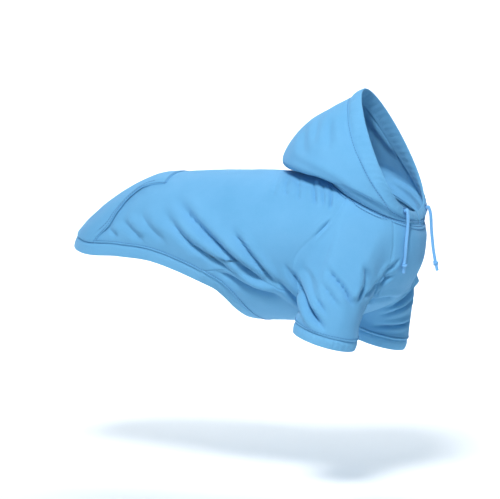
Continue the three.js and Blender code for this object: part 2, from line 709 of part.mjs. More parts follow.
// The kangaroo pocket: a patch that widens towards the hem, just clear of the back panel.
function pocketGrid() {
  const rise = halfCloth + pocketClearance + pocketWall / 2;
  return Array.from({ length: pocketRows + 1 }, (_, i) => {
    const down = i / pocketRows;
    const widening = along(pocketOpening, "down", "share", down);
    const spread = pocketTopAngle + (pocketHemAngle - pocketTopAngle) * widening;
    return Array.from({ length: pocketColumns + 1 }, (_, j) => {
      const angle = spread * ((2 * j) / pocketColumns - 1);
      const hem = along(hemLine, "angle", "station", Math.abs(angle)) - 0.04;
      const station = pocketTopStation + (hem - pocketTopStation) * down;
      const { point, normal } = torsoSample(station, angle);
      return { point: point.addScaledVector(normal, rise), normal };
    });
  });
}

const hoodie = new THREE.Group();

function addPiece(name, geometry, material) {
  const mesh = new THREE.Mesh(geometry, material);
  mesh.name = name;
  hoodie.add(mesh);
  return mesh;
}

addPiece("back_panel", wallFromGrid(backRows, clothWall), blueJersey);
addPiece("chest_panel", wallFromGrid(chestRows, clothWall), blueJersey);
for (const side of ["right", "left"]) {
  const rows = sleeveRows(side);
  addPiece(`sleeve_${side}`, wallFromGrid(rows, clothWall, true), blueJersey);
  const cuff = bandRows(rows.at(-1), rows.at(-2), cuffBandHeight);
  addPiece(`cuff_${side}`, wallFromGrid(cuff, bandWall, true), blueRib);
}
addPiece("hood", wallFromGrid(hoodRows(), clothWall), blueJersey);
addPiece("hood_tunnel", wallFromGrid(tunnelRows(), bandWall), blueJersey);

// The hem band follows the last rows of both torso panels, as one closed ring.
const ringOf = (backRow, chestRow) => [...backRow.slice(0, -1), ...chestRow.slice(0, -1)];
const hemEdge = ringOf(backRows.at(-1), chestRows.at(-1));
const hemInner = ringOf(backRows.at(-2), chestRows.at(-2));
addPiece("hem_band", wallFromGrid(bandRows(hemEdge, hemInner, hemBandHeight, hemDroop), bandWall, true), blueRib);
addPiece("pocket", wallFromGrid(pocketGrid(), pocketWall), blueJersey);

for (const side of ["right", "left"]) {
  addPiece(`eyelet_${side}`, eyelet(side), blueCord);
  addPiece(`drawcord_${side}`, drawcord(side), blueCord);
}

export default hoodie;
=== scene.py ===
import bmesh
import bpy
import numpy as np
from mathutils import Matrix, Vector


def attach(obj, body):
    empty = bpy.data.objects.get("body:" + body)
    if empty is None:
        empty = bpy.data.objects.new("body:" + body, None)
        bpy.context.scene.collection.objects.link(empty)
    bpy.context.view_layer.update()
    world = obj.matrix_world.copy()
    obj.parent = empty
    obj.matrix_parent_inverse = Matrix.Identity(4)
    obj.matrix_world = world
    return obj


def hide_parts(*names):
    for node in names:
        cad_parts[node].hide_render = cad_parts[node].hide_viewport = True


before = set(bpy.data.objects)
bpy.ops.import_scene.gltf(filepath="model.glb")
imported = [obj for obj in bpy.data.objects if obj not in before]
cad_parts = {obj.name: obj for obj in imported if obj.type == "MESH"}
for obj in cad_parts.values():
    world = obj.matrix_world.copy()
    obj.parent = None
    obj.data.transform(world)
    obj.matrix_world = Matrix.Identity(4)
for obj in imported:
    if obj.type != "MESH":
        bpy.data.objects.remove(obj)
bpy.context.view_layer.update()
mm = 0.001  # the sizes below are in millimetres, in the same frame as the solids

# ---- camera, at the height and angle of the photograph

view = {
    "target": (-62, -40.9, -94.9), "azimuth": 27, "elevation": 5, "distance": 2400, "width": 615,
    "sensor": 36, "farthest": 30000,
}


def addObject(name, data):
    thing = bpy.data.objects.new(name, data)
    bpy.context.scene.collection.objects.link(thing)
    return thing


def makeCamera():
    turn, rise = np.radians(view["azimuth"]), np.radians(view["elevation"])
    back = Vector((np.sin(turn) * np.cos(rise), -np.cos(turn) * np.cos(rise), np.sin(rise)))
    data = bpy.data.cameras.new("camera")
    data.sensor_width = view["sensor"]
    data.lens = view["sensor"] * view["distance"] / view["width"]
    data.clip_end = view["farthest"] * mm
    camera = addObject("camera", data)
    camera.location = Vector(view["target"]) * mm + back * view["distance"] * mm
    camera.rotation_euler = (-back).to_track_quat("-Z", "Y").to_euler()
    bpy.context.scene.camera = camera


makeCamera()
print("camera placed")

# ---- small helpers for arrays, tables and meshes


def stack(*parts):
    return np.stack(np.broadcast_arrays(*parts), axis=-1)


def unit(vectors):
    return vectors / np.maximum(np.linalg.norm(vectors, axis=-1, keepdims=True), 1e-9)


def dot(a, b):
    return np.sum(a * b, axis=-1, keepdims=True)


def ease(low, high, value):
    share = np.clip((value - low) / (high - low), 0, 1)
    return share * share * (3 - 2 * share)


def bell(value, width):
    return np.exp(-(value / width) ** 2)


def curveThrough(values, at, places=None):
    # a smooth curve through a table's column, read at the given places
    values = np.asarray(values, float)
    places = np.arange(len(values)) if places is None else np.asarray(places, float)
    at = np.asarray(at, float)
    last = len(values) - 1
    low = np.maximum(np.arange(len(values)) - 1, 0)
    high = np.minimum(np.arange(len(values)) + 1, last)
    slopes = (values[high] - values[low]) / (places[high] - places[low])
    i = np.clip(np.searchsorted(places, at, side="left") - 1, 0, last - 1)
    span = places[i + 1] - places[i]
    t = (at - places[i]) / span
    inner = np.clip(t, 0, 1)
    read = values[i] + (values[i + 1] - values[i]) * inner * inner * (3 - 2 * inner)
    read = read + span * inner * (1 - inner) * ((1 - inner) * slopes[i] - inner * slopes[i + 1])
    return read + span * (slopes[i] * np.minimum(t, 0) + slopes[i + 1] * np.maximum(t - 1, 0))


def smoothLine(points, count):
    points = np.asarray(points, float)
    at = np.linspace(0, len(points) - 1, count)
    return stack(*(curveThrough(column, at) for column in points.T))


def closerAtEnds(steps, least):
    # shares from 0 to 1 whose spacing at both ends is the given part of the mean
    share = np.linspace(0, 1, steps + 1)
    return least * share + (1 - least) * (1 - np.cos(np.pi * share)) / 2


def alongPath(points):
    steps = np.linalg.norm(np.diff(points, axis=0), axis=-1)
    return np.concatenate([[0], np.cumsum(steps)])


def alongColumns(grid):
    return np.stack([alongPath(column) for column in np.swapaxes(grid, 0, 1)], axis=1)


def facingOf(grid, closed=False):
    # the way a grid of points faces: across its rows and columns
    rows = np.gradient(grid, axis=0)
    columns = np.gradient(grid, axis=1)
    if closed:
        columns = np.roll(grid, -1, axis=1) - np.roll(grid, 1, axis=1)
    return unit(np.cross(columns, rows))


def ripple(points, length, seed, waves=9):
    # soft unevenness of hand-cut cloth: a few crossing waves of about one length
    draw = np.random.default_rng(seed)
    total = np.zeros(points.shape[:-1])
    for _ in range(waves):
        way = unit(draw.normal(size=3)) * 2 * np.pi / (length * draw.uniform(0.7, 1.5))
        total += np.sin(points @ way + draw.uniform(0, 2 * np.pi))
    return total / np.sqrt(waves)


def ripples(points, waves):
    return sum(height * ripple(points, length, seed) for height, length, seed in waves)


sharpAngle = 55  # cloth edges turned by more than this stay sharp


def makePiece(name, points, faces, places, material):
    # places holds each point's place on the flat cloth, in millimetres
    mesh = bpy.data.meshes.new(name)
    mesh.from_pydata((np.asarray(points) * mm).tolist(), [], faces)
    layer = mesh.uv_layers.new(name="clothMm")
    corners = np.zeros(len(mesh.loops), int)
    mesh.loops.foreach_get("vertex_index", corners)
    layer.data.foreach_set("uv", np.asarray(places, float)[corners].ravel())
    mesh.materials.append(material)
    shell = bmesh.new()
    shell.from_mesh(mesh)
    bmesh.ops.recalc_face_normals(shell, faces=shell.faces)
    shell.to_mesh(mesh)
    shell.free()
    mesh.polygons.foreach_set("use_smooth", [True] * len(mesh.polygons))
    mesh.set_sharp_from_angle(angle=np.radians(sharpAngle))
    return addObject(name, mesh)


def gridFaces(rows, columns, closed=False):
    i, j = np.meshgrid(np.arange(rows - 1), np.arange(columns if closed else columns - 1), indexing="ij")
    start, below, after = i * columns, (i + 1) * columns, (j + 1) % columns
    return stack(start + j, start + after, below + after, below + j).reshape(-1, 4)


def clothPlaces(grid, closed=False):
    # each point's place on the flat cloth: along its row from the middle, and down its column
    across = alongColumns(np.swapaxes(grid, 0, 1)).T
    across = across - across[:, [grid.shape[1] // 2]] * (not closed)
    return stack(across, alongColumns(grid).mean(axis=1, keepdims=True))


def clothPiece(name, grid, wall, closed=False):
    # one layer of cloth with its own thickness, from its middle surface
    rows, columns = grid.shape[:2]
    facing = facingOf(grid, closed)
    outer = (grid + facing * wall / 2).reshape(-1, 3)
    inner = (grid - facing * wall / 2).reshape(-1, 3)
    faces = gridFaces(rows, columns, closed)
    layer = rows * columns
    number = np.arange(layer).reshape(rows, columns)
    rims = [number[0][::-1], number[-1]]
    if not closed:
        rims += [number[:, 0], number[::-1, -1]]
    walls = []
    for rim in rims:
        ends = np.roll(rim, -1) if closed else rim[1:]
        starts = rim if closed else rim[:-1]
        walls.append(stack(starts, ends, ends + layer, starts + layer))
    faces = np.concatenate([faces, faces[:, ::-1] + layer, np.concatenate(walls)]).tolist()
    places = np.tile(clothPlaces(grid, closed).reshape(-1, 2), (2, 1))
    return makePiece(name, np.concatenate([outer, inner]), faces, places, brushedJersey)


folded = {"thin": 0.75, "fullAt": 1.1, "turnSteps": 7}


def foldedBand(name, grid, facing, material, puff, closed=True):
    # cloth folded double along the grid's last row, with a round fold and a slight swell
    rows, columns = grid.shape[:2]
    down = unit(grid[-1] - grid[-2])
    share = np.linspace(0, 1, rows)[:, None, None]
    fullness = np.sin(np.pi * np.minimum(share * folded["fullAt"], 1)) ** 0.5
    half = bandWall / 2 * (folded["thin"] + (1 - folded["thin"]) * fullness)
    outer = grid + facing * (half + puff * np.sin(np.pi * share))
    inner = (grid - facing * half)[::-1]
    turn = np.linspace(0, np.pi, folded["turnSteps"])[1:-1][:, None, None]
    edge = half[-1]
    fold = grid[-1] + facing[-1] * edge * np.cos(turn) + down * edge * np.sin(turn)
    section = np.concatenate([outer, fold, inner])
    count = len(section)
    loops = np.concatenate([section, section[:1]])
    faces = (gridFaces(count + 1, columns, closed) % (count * columns)).tolist()
    if not closed:
        ends = np.arange(rows - 1)
        last = (count - 1 - ends) * columns
        first = stack(ends * columns, last, last - columns, (ends + 1) * columns)
        final = (first + columns - 1)[:, ::-1]
        tip = ((rows - 1 + np.arange(folded["turnSteps"])) * columns).tolist()
        faces += first.tolist() + final.tolist()
        faces += [tip[::-1], [corner + columns - 1 for corner in tip]]
    places = clothPlaces(loops, closed)[:-1].reshape(-1, 2)
    return makePiece(name, section.reshape(-1, 3), faces, places, material)


# ---- materials


def linearColour(code):
    parts = [int(code[k:k + 2], 16) / 255 for k in (1, 3, 5)]
    return [p / 12.92 if p <= 0.04045 else ((p + 0.055) / 1.055) ** 2.4 for p in parts] + [1]


def addNode(tree, kind, *links, **settings):
    # each link is a socket with a value, an output socket or a node, which gives its first output
    node = tree.nodes.new(kind)
    for key, value in settings.items():
        setattr(node, key, value)
    for socket, value in links:
        if isinstance(value, bpy.types.Node):
            value = value.outputs[0]
        if isinstance(value, bpy.types.NodeSocket):
            tree.links.new(value, node.inputs[socket])
        else:
            node.inputs[socket].default_value = value
    return node


def startMaterial(name):
    material = bpy.data.materials.new(name)
    material.use_nodes = True
    material.node_tree.nodes.clear()
    return material, material.node_tree, addNode(material.node_tree, "ShaderNodeTexCoord")


def finishMaterial(tree, facts, height, colour, *more):
    bump = addNode(
        tree, "ShaderNodeBump", ("Height", height), ("Distance", facts["bumpMm"] * mm),
        ("Strength", facts["bump"]))
    shader = addNode(
        tree, "ShaderNodeBsdfPrincipled", ("Base Color", colour), ("Roughness", facts["roughness"]),
        ("Sheen Weight", facts["sheen"]), ("Normal", bump), *more)
    addNode(tree, "ShaderNodeOutputMaterial", ("Surface", shader))


jersey = {
    "colour": "#6bacd6", "pale": "#70b0d9", "deep": "#66a8d2", "roughness": 0.88, "specular": 0.25,
    "waleMm": 1.3, "courseMm": 1.15, "kneeMm": 0.6, "bumpMm": 0.16, "loopShare": 0.35,
    "fuzzMm": 0.35, "fuzzShare": 1.4, "bump": 0.55, "cloudsPerM": 22, "specksPerM": 700, "melange": 0.3,
    "sheen": 0.28, "sheenRoughness": 0.45, "sheenTint": "#bfe0ff",
}


def knitMaterial(name, facts):
    # combed cotton jersey: columns of small V loops that give a soft, matt, slightly downy surface.
    # The loops are drawn at 1.3 mm, coarser than the real 0.8 mm, so that they show in the render.
    material, tree, place = startMaterial(name)
    uv = addNode(tree, "ShaderNodeSeparateXYZ", (0, place.outputs["UV"]))
    made = {"across": uv.outputs[0], "down": uv.outputs[1]}
    for label, perMetre, detail, roughness in (
        ("fuzz", 1 / (facts["fuzzMm"] * mm), 2, 0.5), ("cloud", facts["cloudsPerM"], 3, 0.6),
        ("speck", facts["specksPerM"], 2, 0.5),
    ):
        made[label] = addNode(
            tree, "ShaderNodeTexNoise", ("Vector", place.outputs["Object"]), ("Scale", perMetre),
            ("Detail", detail), ("Roughness", roughness))
    # each row has a label, an operation and its values, where a label stands for an earlier node
    for label, operation, *values in (
        ("wale", "DIVIDE", "across", facts["waleMm"]), ("wale", "FRACT", "wale"),
        ("knee", "SUBTRACT", "wale", 0.5), ("knee", "ABSOLUTE", "knee"),
        ("bent", "MULTIPLY_ADD", "knee", facts["kneeMm"] * 2, "down"),
        ("loop", "MULTIPLY", "bent", 2 * np.pi / facts["courseMm"]), ("loop", "SINE", "loop"),
        ("rib", "MULTIPLY", "knee", 2 * np.pi), ("rib", "SINE", "rib"),
        ("height", "MULTIPLY_ADD", "loop", facts["loopShare"], "rib"),
        ("height", "MULTIPLY_ADD", "fuzz", facts["fuzzShare"], "height"),
        ("shade", "MULTIPLY", "cloud", 1 - facts["melange"]),
        ("shade", "MULTIPLY_ADD", "speck", facts["melange"], "shade"),
    ):
        links = [(k, made.get(value, value)) for k, value in enumerate(values)]
        made[label] = addNode(tree, "ShaderNodeMath", *links, operation=operation)
    ramp = addNode(tree, "ShaderNodeValToRGB", ("Fac", made["shade"]))
    stops = ramp.color_ramp.elements
    stops[0].position, stops[0].color = 0.3, linearColour(facts["deep"])
    stops[1].position, stops[1].color = 0.72, linearColour(facts["pale"])
    stops.new(0.5).color = linearColour(facts["colour"])
    finishMaterial(
        tree, facts, made["height"], ramp, ("Sheen Roughness", facts["sheenRoughness"]),
        ("Sheen Tint", linearColour(facts["sheenTint"])), ("Specular IOR Level", facts["specular"]))
    return material


# The sewing thread's two colours are much darker than the jersey: the thread's own blue with painted shade
# of the stitch creases on it.
thread = {
    "colour": "#4584bb", "deep": "#3572a8", "roughness": 0.6, "sheen": 0.15,
    "plyMm": 0.5, "bumpMm": 0.06, "waver": 1.5, "bump": 0.5,
}


def threadMaterial(name, facts):
    # spun polyester, as sewing thread and as braided yarn: a little glossier than the jersey, with a
    # fine twist, drawn at about its real 0.5 mm
    material, tree, place = startMaterial(name)
    wave = addNode(
        tree, "ShaderNodeTexWave", ("Vector", place.outputs["Object"]),
        ("Scale", 0.3 / (facts["plyMm"] * mm)), ("Distortion", facts["waver"]), bands_direction="DIAGONAL")
    ramp = addNode(tree, "ShaderNodeValToRGB", ("Fac", wave.outputs["Fac"]))
    for stop, key in zip(ramp.color_ramp.elements, ("deep", "colour")):
        stop.color = linearColour(facts[key])
    finishMaterial(tree, facts, wave.outputs["Fac"], ramp)
    return material


brushedJersey = knitMaterial("combed_cotton_jersey", jersey)
bandJersey = knitMaterial(
    "doubled_cotton_jersey", {**jersey, "colour": "#70b1da", "pale": "#75b5dd", "deep": "#6bacd6"})
# sewing thread whose dark colour is partly painted crease shade
threadWithPaintedShade = threadMaterial("spun_polyester_thread_with_painted_shade", thread)
cordYarn = threadMaterial(
    "braided_polyester_cord", {**thread, "colour": "#7fbdec", "deep": "#66a8de", "roughness": 0.75})

# ---- torso: its sections from neck to tail, as in the solids

torso = {
    "backLength": 337, "chestDepth": 187, "chestWidth": 182, "neckSeamX": 35, "wall": 2,
    "neckLength": 125, "neckWidth": 118, "neckTilt": 27.3, "even": 0.3,
    "topX": [0, .04, .09, .157, .252, .37, .49, .608, .715, .822, .923, 1.018, 1.107],
    "topZ": [-.02, -.003, 0, 0, .003, -.003, -.01, -.021, -.048, -.13, -.24, -.376, -.52],
    "bottomX": [-.332, -.337, -.312, -.223, -.03, .178, .356, .504, .623, .733, .816, .89, .96],
    "bottomZ": [-.267, -.44, -.625, -.83, -.955, -.987, -.985, -.94, -.9, -.9, -.91, -.93, -.96],
    "half": [.65, .76, .87, .95, .99, 1, .985, .95, .9, .85, .79, .72, .65],
    "widest": [.46, .47, .48, .48, .48, .47, .46, .46, .46, .46, .46, .46, .46],
    "hemAngle": [0, 35, 60, 78, 91, 98, 103, 110, 120, 145, 180],
    "hemStation": [11.38, 11.25, 10.85, 10.15, 9.05, 8.1, 7.05, 6.2, 5.67, 5.5, 5.48],
}
halfChest = torso["chestWidth"] / 2
halfNeck = torso["neckWidth"] / 2
neckDrop = np.radians(torso["neckTilt"])
torso["bottomX"][0] = -torso["neckLength"] * np.cos(neckDrop) / torso["backLength"]
torso["bottomZ"][0] = torso["topZ"][0] - torso["neckLength"] * np.sin(neckDrop) / torso["chestDepth"]
torso["half"][0] = halfNeck / halfChest

# Each fold's width, its valley's depth, the ridges above and below it, and its line, seen from the
# side (x, z) or the front (y, z).
sideFolds = [
    (9, 4.6, 3, .8, [
        (-160, -24), (-131, -44), (-105, -64), (-83, -81), (-59, -101), (-38, -116), (-16, -130),
        (0, -139)]),
    (8.5, 3.4, 2.2, .5, [
        (-168, -36), (-145, -61), (-119, -84), (-93, -99), (-67, -113), (-45, -126), (-26, -136)]),
    (6.5, 3.4, 2, .5, [(-66, -56), (-55, -70), (-40, -88), (-22, -108), (-8, -124), (4, -136)]),
    (8, 1.9, 1.3, .3, [(-224, -59), (-206, -72), (-184, -88)]),
    (6.5, 1.2, .9, .2, [(-243, -72), (-225, -84)]),
    (7.5, 4.8, 2.6, 0, [(-92, -116), (-68, -124), (-49, -134), (-25, -143), (6, -150)]),
    (9, 1.5, 1.1, 0, [(-196, -48), (-175, -70), (-150, -88)]),
    (6.5, 3.8, 1.4, 2.2, [(8, -100), (18, -116), (34, -137), (52, -156), (68, -172), (78, -184)]),
    (5, 1.6, 1, .8, [(32, -104), (48, -124), (64, -146), (80, -168)]),
    (5, 2.2, 1, 1, [(-2, -118), (6, -134), (20, -152), (34, -166)]),
    (4.8, 2.6, 1.5, .9, [(66, -102), (80, -117), (95, -134), (105, -158)]),
    (4.5, 1.4, .9, .3, [(60, -122), (74, -133), (92, -155)]),
    (4.5, 1.2, .4, .9, [(38, -106), (56, -126), (72, -146)]),
    (3.8, 3.2, 1.2, 1.2, [(108, -98), (114, -114), (112, -130), (104, -150)]),
    (3.4, 1.3, .7, .5, [(104, -147), (112, -135), (124, -121), (134, -108)]),
    (3.2, 1.3, .7, .5, [(48, -78), (58, -64), (70, -50)]),
    (3.8, .9, .5, .5, [(-24, 0), (-16, -16), (-14, -34)]),
    (3.8, 1, .55, .55, [(-11, -2), (-2, -16), (5, -32)]),
    (3.6, 1, .5, .5, [(5, -3), (15, -16), (24, -34)]),
    (3.8, 1.5, .8, .7, [(28, -6), (39, -20), (47, -38)]),
    (3.4, 1, .5, .5, [(45, -10), (52, -22), (57, -38)]),
    (3.6, 1.3, .7, .6, [(57, -15), (63, -26), (66, -42)]),
]
frontFolds = [
    (4.4, 2.2, 1.2, .8, [(-80, -146), (-62, -136), (-46, -124), (-32, -116)]),
    (4.6, 2, 1.2, .6, [(-74, -158), (-50, -150), (-24, -148), (4, -150)]),
    (4, 1.6, 1, .6, [(-66, -134), (-54, -122), (-44, -108), (-36, -96)]),
    (3.8, 1.4, .9, .5, [(-4, -150), (12, -146), (26, -138)]),
    (4.6, 2.6, 1.5, .9, [(40, -170), (52, -162), (64, -152), (78, -138)]),
    (4.2, 2.2, 1.2, .8, [(38, -180), (54, -172), (72, -164), (88, -150)]),
    (3.8, 2.4, 1.3, .6, [(40, -190), (54, -192), (70, -191), (86, -186)]),
]
fold = {
    "depth": 1.8, "valleyWidth": 0.62, "steepness": 1.4, "ridgeAt": 1.15, "ridgeWidth": 0.85,
    "atStart": 0.75, "gain": 0.8, "shift": 4, "farShift": 6, "offMiddle": (0.12, 0.5),
    "sideways": (0, 0.4), "forwards": (0.05, 0.4), "waves": ((0.3, 70, 3), (0.12, 22, 5)),
}


def besideLine(flat, line):
    # each place's share of the way along the line, and its distance from it, with a side
    reach = alongPath(line)
    nearest = np.full(flat.shape[:-1], 1e9)
    share = np.zeros(flat.shape[:-1])
    side = np.ones(flat.shape[:-1])
    for k in range(len(line) - 1):
        run = line[k + 1] - line[k]
        length = np.hypot(*run)
        t = np.clip((flat - line[k]) @ run / length ** 2, 0, 1)
        offset = flat - line[k] - t[..., None] * run
        distance = np.hypot(offset[..., 0], offset[..., 1])
        closer = distance < nearest
        nearest = np.where(closer, distance, nearest)
        share = np.where(closer, (reach[k] + t * length) / reach[-1], share)
        side = np.where(closer, np.sign(offset[..., 0] * run[1] - offset[..., 1] * run[0]), side)
    return share, nearest * side


def creased(away, form, width, valley, upper, lower):
    # a fold's height across its line: a valley between two ridges
    lift = -valley * np.exp(-np.abs(away / (form["valleyWidth"] * width)) ** form["steepness"])
    for ridge, at in ((upper, -form["ridgeAt"]), (lower, form["ridgeAt"])):
        lift += ridge * bell(away - at * width, form["ridgeWidth"] * width)
    return lift


def foldLift(points, facing):
    # how far folds and unevenness lift the cloth
    side = np.sign(points[..., 1])
    outwards = ease(*fold["offMiddle"], np.abs(points[..., 1]) / halfChest)
    outwards = outwards * ease(*fold["sideways"], facing[..., 1] * side)
    forwards = ease(*fold["forwards"], facing[..., 0])
    lift = ripples(points, fold["waves"])
    flatSide = stack(points[..., 0] + fold["shift"] - fold["farShift"] * (side > 0), points[..., 2])
    for folds, flat, shown in ((sideFolds, flatSide, outwards), (frontFolds, points[..., 1:], forwards)):
        for *sizes, line in folds:
            share, away = besideLine(flat, smoothLine(line, 4 * len(line)))
            depth = fold["depth"] * (fold["atStart"] + fold["gain"] * share)
            ends = ease(0, 0.3, share) * ease(1, 0.7, share)
            lift = lift + depth * shown * creased(away, fold, *sizes) * ends
    return lift


def torsoPoint(station, angle):
    keys = ("topX", "topZ", "bottomX", "bottomZ", "half", "widest")
    topX, topZ, bottomX, bottomZ, half, widest = (curveThrough(torso[key], station) for key in keys)
    turn = np.radians(angle)
    top, bottom = (
        stack(torso["neckSeamX"] - x * torso["backLength"], 0 * turn, z * torso["chestDepth"])
        for x, z in ((topX, topZ), (bottomX, bottomZ)))
    centre = top + (bottom - top) * widest[..., None]
    end = np.where((np.cos(turn) > 0)[..., None], top, bottom)
    point = centre + (end - centre) * np.abs(np.cos(turn))[..., None]
    point[..., 1] = half * halfChest * np.sin(turn)
    point[..., 2] += torso["wall"] / 2
    return point


def surfaceFacing(surface, along, angle):
    # from points a little beside each place
    onward = surface(along + 0.02, angle) - surface(along - 0.02, angle)
    sideways = surface(along, angle + 1) - surface(along, angle - 1)
    return unit(np.cross(sideways, onward))


def clothPoint(station, angle):
    station, angle = np.broadcast_arrays(np.asarray(station, float), np.asarray(angle, float))
    point = torsoPoint(station, angle)
    facing = surfaceFacing(torsoPoint, station, angle)
    return point + facing * foldLift(point, facing)[..., None], facing


def hemAt(angle):
    return curveThrough(torso["hemStation"], np.abs(angle), torso["hemAngle"])


# ---- seams: the armhole from the underarm up the back, over the neck and down the front

armhole = {
    "station": [4.1, 3.95, 3.6, 2.7, 1.4, 0, 0, 0, 1, 1.9, 2.8, 3.35, 3.85, 4.1],
    "angle": [133, 115, 98, 88, 84.5, 82, 106, 131, 138, 143, 150, 157, 152, 133],
    "cuff": [106, 91, 74, 50, 30, 15, -6, -28, -44, -62, -92, -150, -206, -254],
    "crease": [.64, .4, .1, 0, 0, 0, 0, 0, 0, .1, .55, 1, .76, .64],
    "sideAt": [0, .3, .65, 1], "sideStation": [4.1, 4.6, 5.35, 6.14], "sideAngle": [133, 117, 108.5, 111],
    "rearSteps": 80, "neckSteps": 20, "frontSteps": 90, "sideSteps": 92,
    "seamDepth": 0.95, "sideDepth": 0.5, "seamWidth": 1.9, "flankDepth": 1.2, "flankAt": (4.1, 4.4),
}
sewn = {"rise": 1, "from": 0.5, "slope": 1.8, "dip": 1.2, "dipWidth": 1}
neckRear, neckFront, armholeEnd = 5, 7, 13
rearAt = neckRear * (1 - np.linspace(0, 1, armhole["rearSteps"] + 1) ** 1.2)
frontAt = neckFront + (armholeEnd - neckFront) * np.linspace(0, 1, armhole["frontSteps"] + 1) ** 1.2
neckAt = np.linspace(neckRear, neckFront, armhole["neckSteps"] + 1)
sideShare = 1 - (1 - np.linspace(0, 1, armhole["sideSteps"] + 1)) ** 1.5


def armholeValues(at):
    station = np.maximum(0, curveThrough(armhole["station"], at))
    return station, curveThrough(armhole["angle"], at)


def panelEdge(at):
    station, angle = armholeValues(at)
    sideStation = curveThrough(armhole["sideStation"], sideShare[1:], armhole["sideAt"])
    sideAngle = curveThrough(armhole["sideAngle"], sideShare[1:], armhole["sideAt"])
    return np.concatenate([station, sideStation]), np.concatenate([angle, sideAngle])


def seamDip(distance):
    # cloth dips where it is drawn in by a seam
    return -armhole["seamDepth"] * bell(distance, armhole["seamWidth"])


def sewnDown(distance, lines):
    # the allowance beside a seam stands up a little, and dips along its lines of stitches
    last, slope = lines[-1], sewn["slope"]
    lift = sewn["rise"] * (1 - ease(last, last + slope, distance)) * ease(sewn["from"], slope, distance)
    for line in lines:
        lift = lift - sewn["dip"] * bell(distance - line, sewn["dipWidth"])
    return lift


topstitch = {
    "neck": (2.6, 6.4), "hem": (4.6,), "cuff": (3.6,), "tunnel": (1.9,), "pocket": (2.2, 7.5),
    "pocketTop": (1.8,)}


def edgeDistances(grid):
    # each point's distance to the first row, the last row and the nearer side edge
    down = alongColumns(grid)
    across = alongColumns(np.swapaxes(grid, 0, 1)).T
    return down, down[-1:] - down, np.minimum(across, across[:, -1:] - across)


def middleShares(rows, underarm):
    # how far down the back's middle each row runs: closer by the seams, and without crossing rows
    # beside the underarm
    share = np.interp(np.arange(rows), [0, 12, underarm, rows - 17, rows - 1], [0, 0.018, 0.7, 0.972, 1])
    even = np.convolve(share, np.full(9, 1 / 9), "valid")
    return np.concatenate([share[:4], even, share[-4:]])


def acrossShares(columns, even):
    # shares from -1 to 1 across a panel, closer together at both sides
    step = np.linspace(-1, 1, columns + 1)[None, :]
    return np.sign(step) * (even * np.abs(step) + (1 - even) * np.sin(np.abs(step) * np.pi / 2))


def torsoPanel(centre, edge, columns):
    # a torso panel between its two side edges, from the neck seam to the hem seam
    edgeStation, edgeAngle = (part[:, None] for part in edge)
    step = acrossShares(columns, torso["even"])
    reach = np.abs(step)
    edgeShare = edgeStation / hemAt(edgeAngle)
    spread = edgeAngle if centre == 0 else 180 - edgeAngle
    fromBack = np.abs(centre - reach * spread)
    middleShare = middleShares(len(edgeShare), armhole["rearSteps"])[:, None] if centre == 0 else edgeShare
    share = middleShare + (edgeShare - middleShare) * reach ** 4
    onLeft = step > 0 if centre == 0 else step < 0
    angle = np.where(onLeft, fromBack, -fromBack)
    grid, facing = clothPoint(share * hemAt(fromBack), angle)
    top, bottom, side = edgeDistances(grid)
    flank = ease(*armhole["flankAt"], edgeStation)
    sideDepth = armhole["sideDepth"] + (armhole["flankDepth"] - armhole["sideDepth"]) * flank
    dip = np.minimum.reduce([seamDip(top), seamDip(bottom), sideDepth * seamDip(side)])
    dip = dip + sewnDown(top, topstitch["neck"]) + sewnDown(bottom, topstitch["hem"])
    return grid + facing * dip[..., None], facing


def lineFrom(grid, distance, middle, fromLast=False):
    # the line at a distance from a grid's first or last row, and its facing, away from the middle
    layers = np.concatenate([grid, facingOf(grid)], axis=-1)[::-1 if fromLast else 1]
    reach = alongColumns(layers[..., :3])
    line = np.array([
        [np.interp(distance, reach[:, j], layers[:, j, k]) for k in range(6)]
        for j in range(reach.shape[1])])
    points, facing = line[:, :3], unit(line[:, 3:])
    return points, facing * np.sign(np.sum(facing * (points - middle)))


clothWall, bandWall = 1.6, 3  # of one layer, and of cloth folded double
backPanel = {"columns": 190, "flat": (0.44, 0.4), "area": 0.112}
chestPanel = {"columns": 90, "flat": (0.3, 0.33), "area": 0.038}
backGrid, backFacing = torsoPanel(0, panelEdge(rearAt), backPanel["columns"])
chestGrid, chestFacing = torsoPanel(180, panelEdge(frontAt), chestPanel["columns"])
print("torso laid out", backGrid.shape, chestGrid.shape)
back = clothPiece("back_cloth", backGrid, clothWall)
chest = clothPiece("chest_cloth", chestGrid, clothWall)

# ---- sleeves and cuffs

sleeve = {
    "reach": 184, "leftSag": 17, "cuffLength": 79, "cuffWidth": 64, "cuffTilt": 16, "cuffForward": 0.07,
    "cuffOut": 0.85, "leaving": 0.65, "arriving": 0.8, "rings": 72, "evening": 110, "bandHeight": 12,
    "flat": (0.31, 0.17), "area": 0.0236, "bandFlat": (0.24, 0.0148), "closeRings": 0.2,
    "easeSeam": 14, "easeCuff": 16, "easeBy": 0.5, "foldSeam": 6, "foldCuff": 5,
}


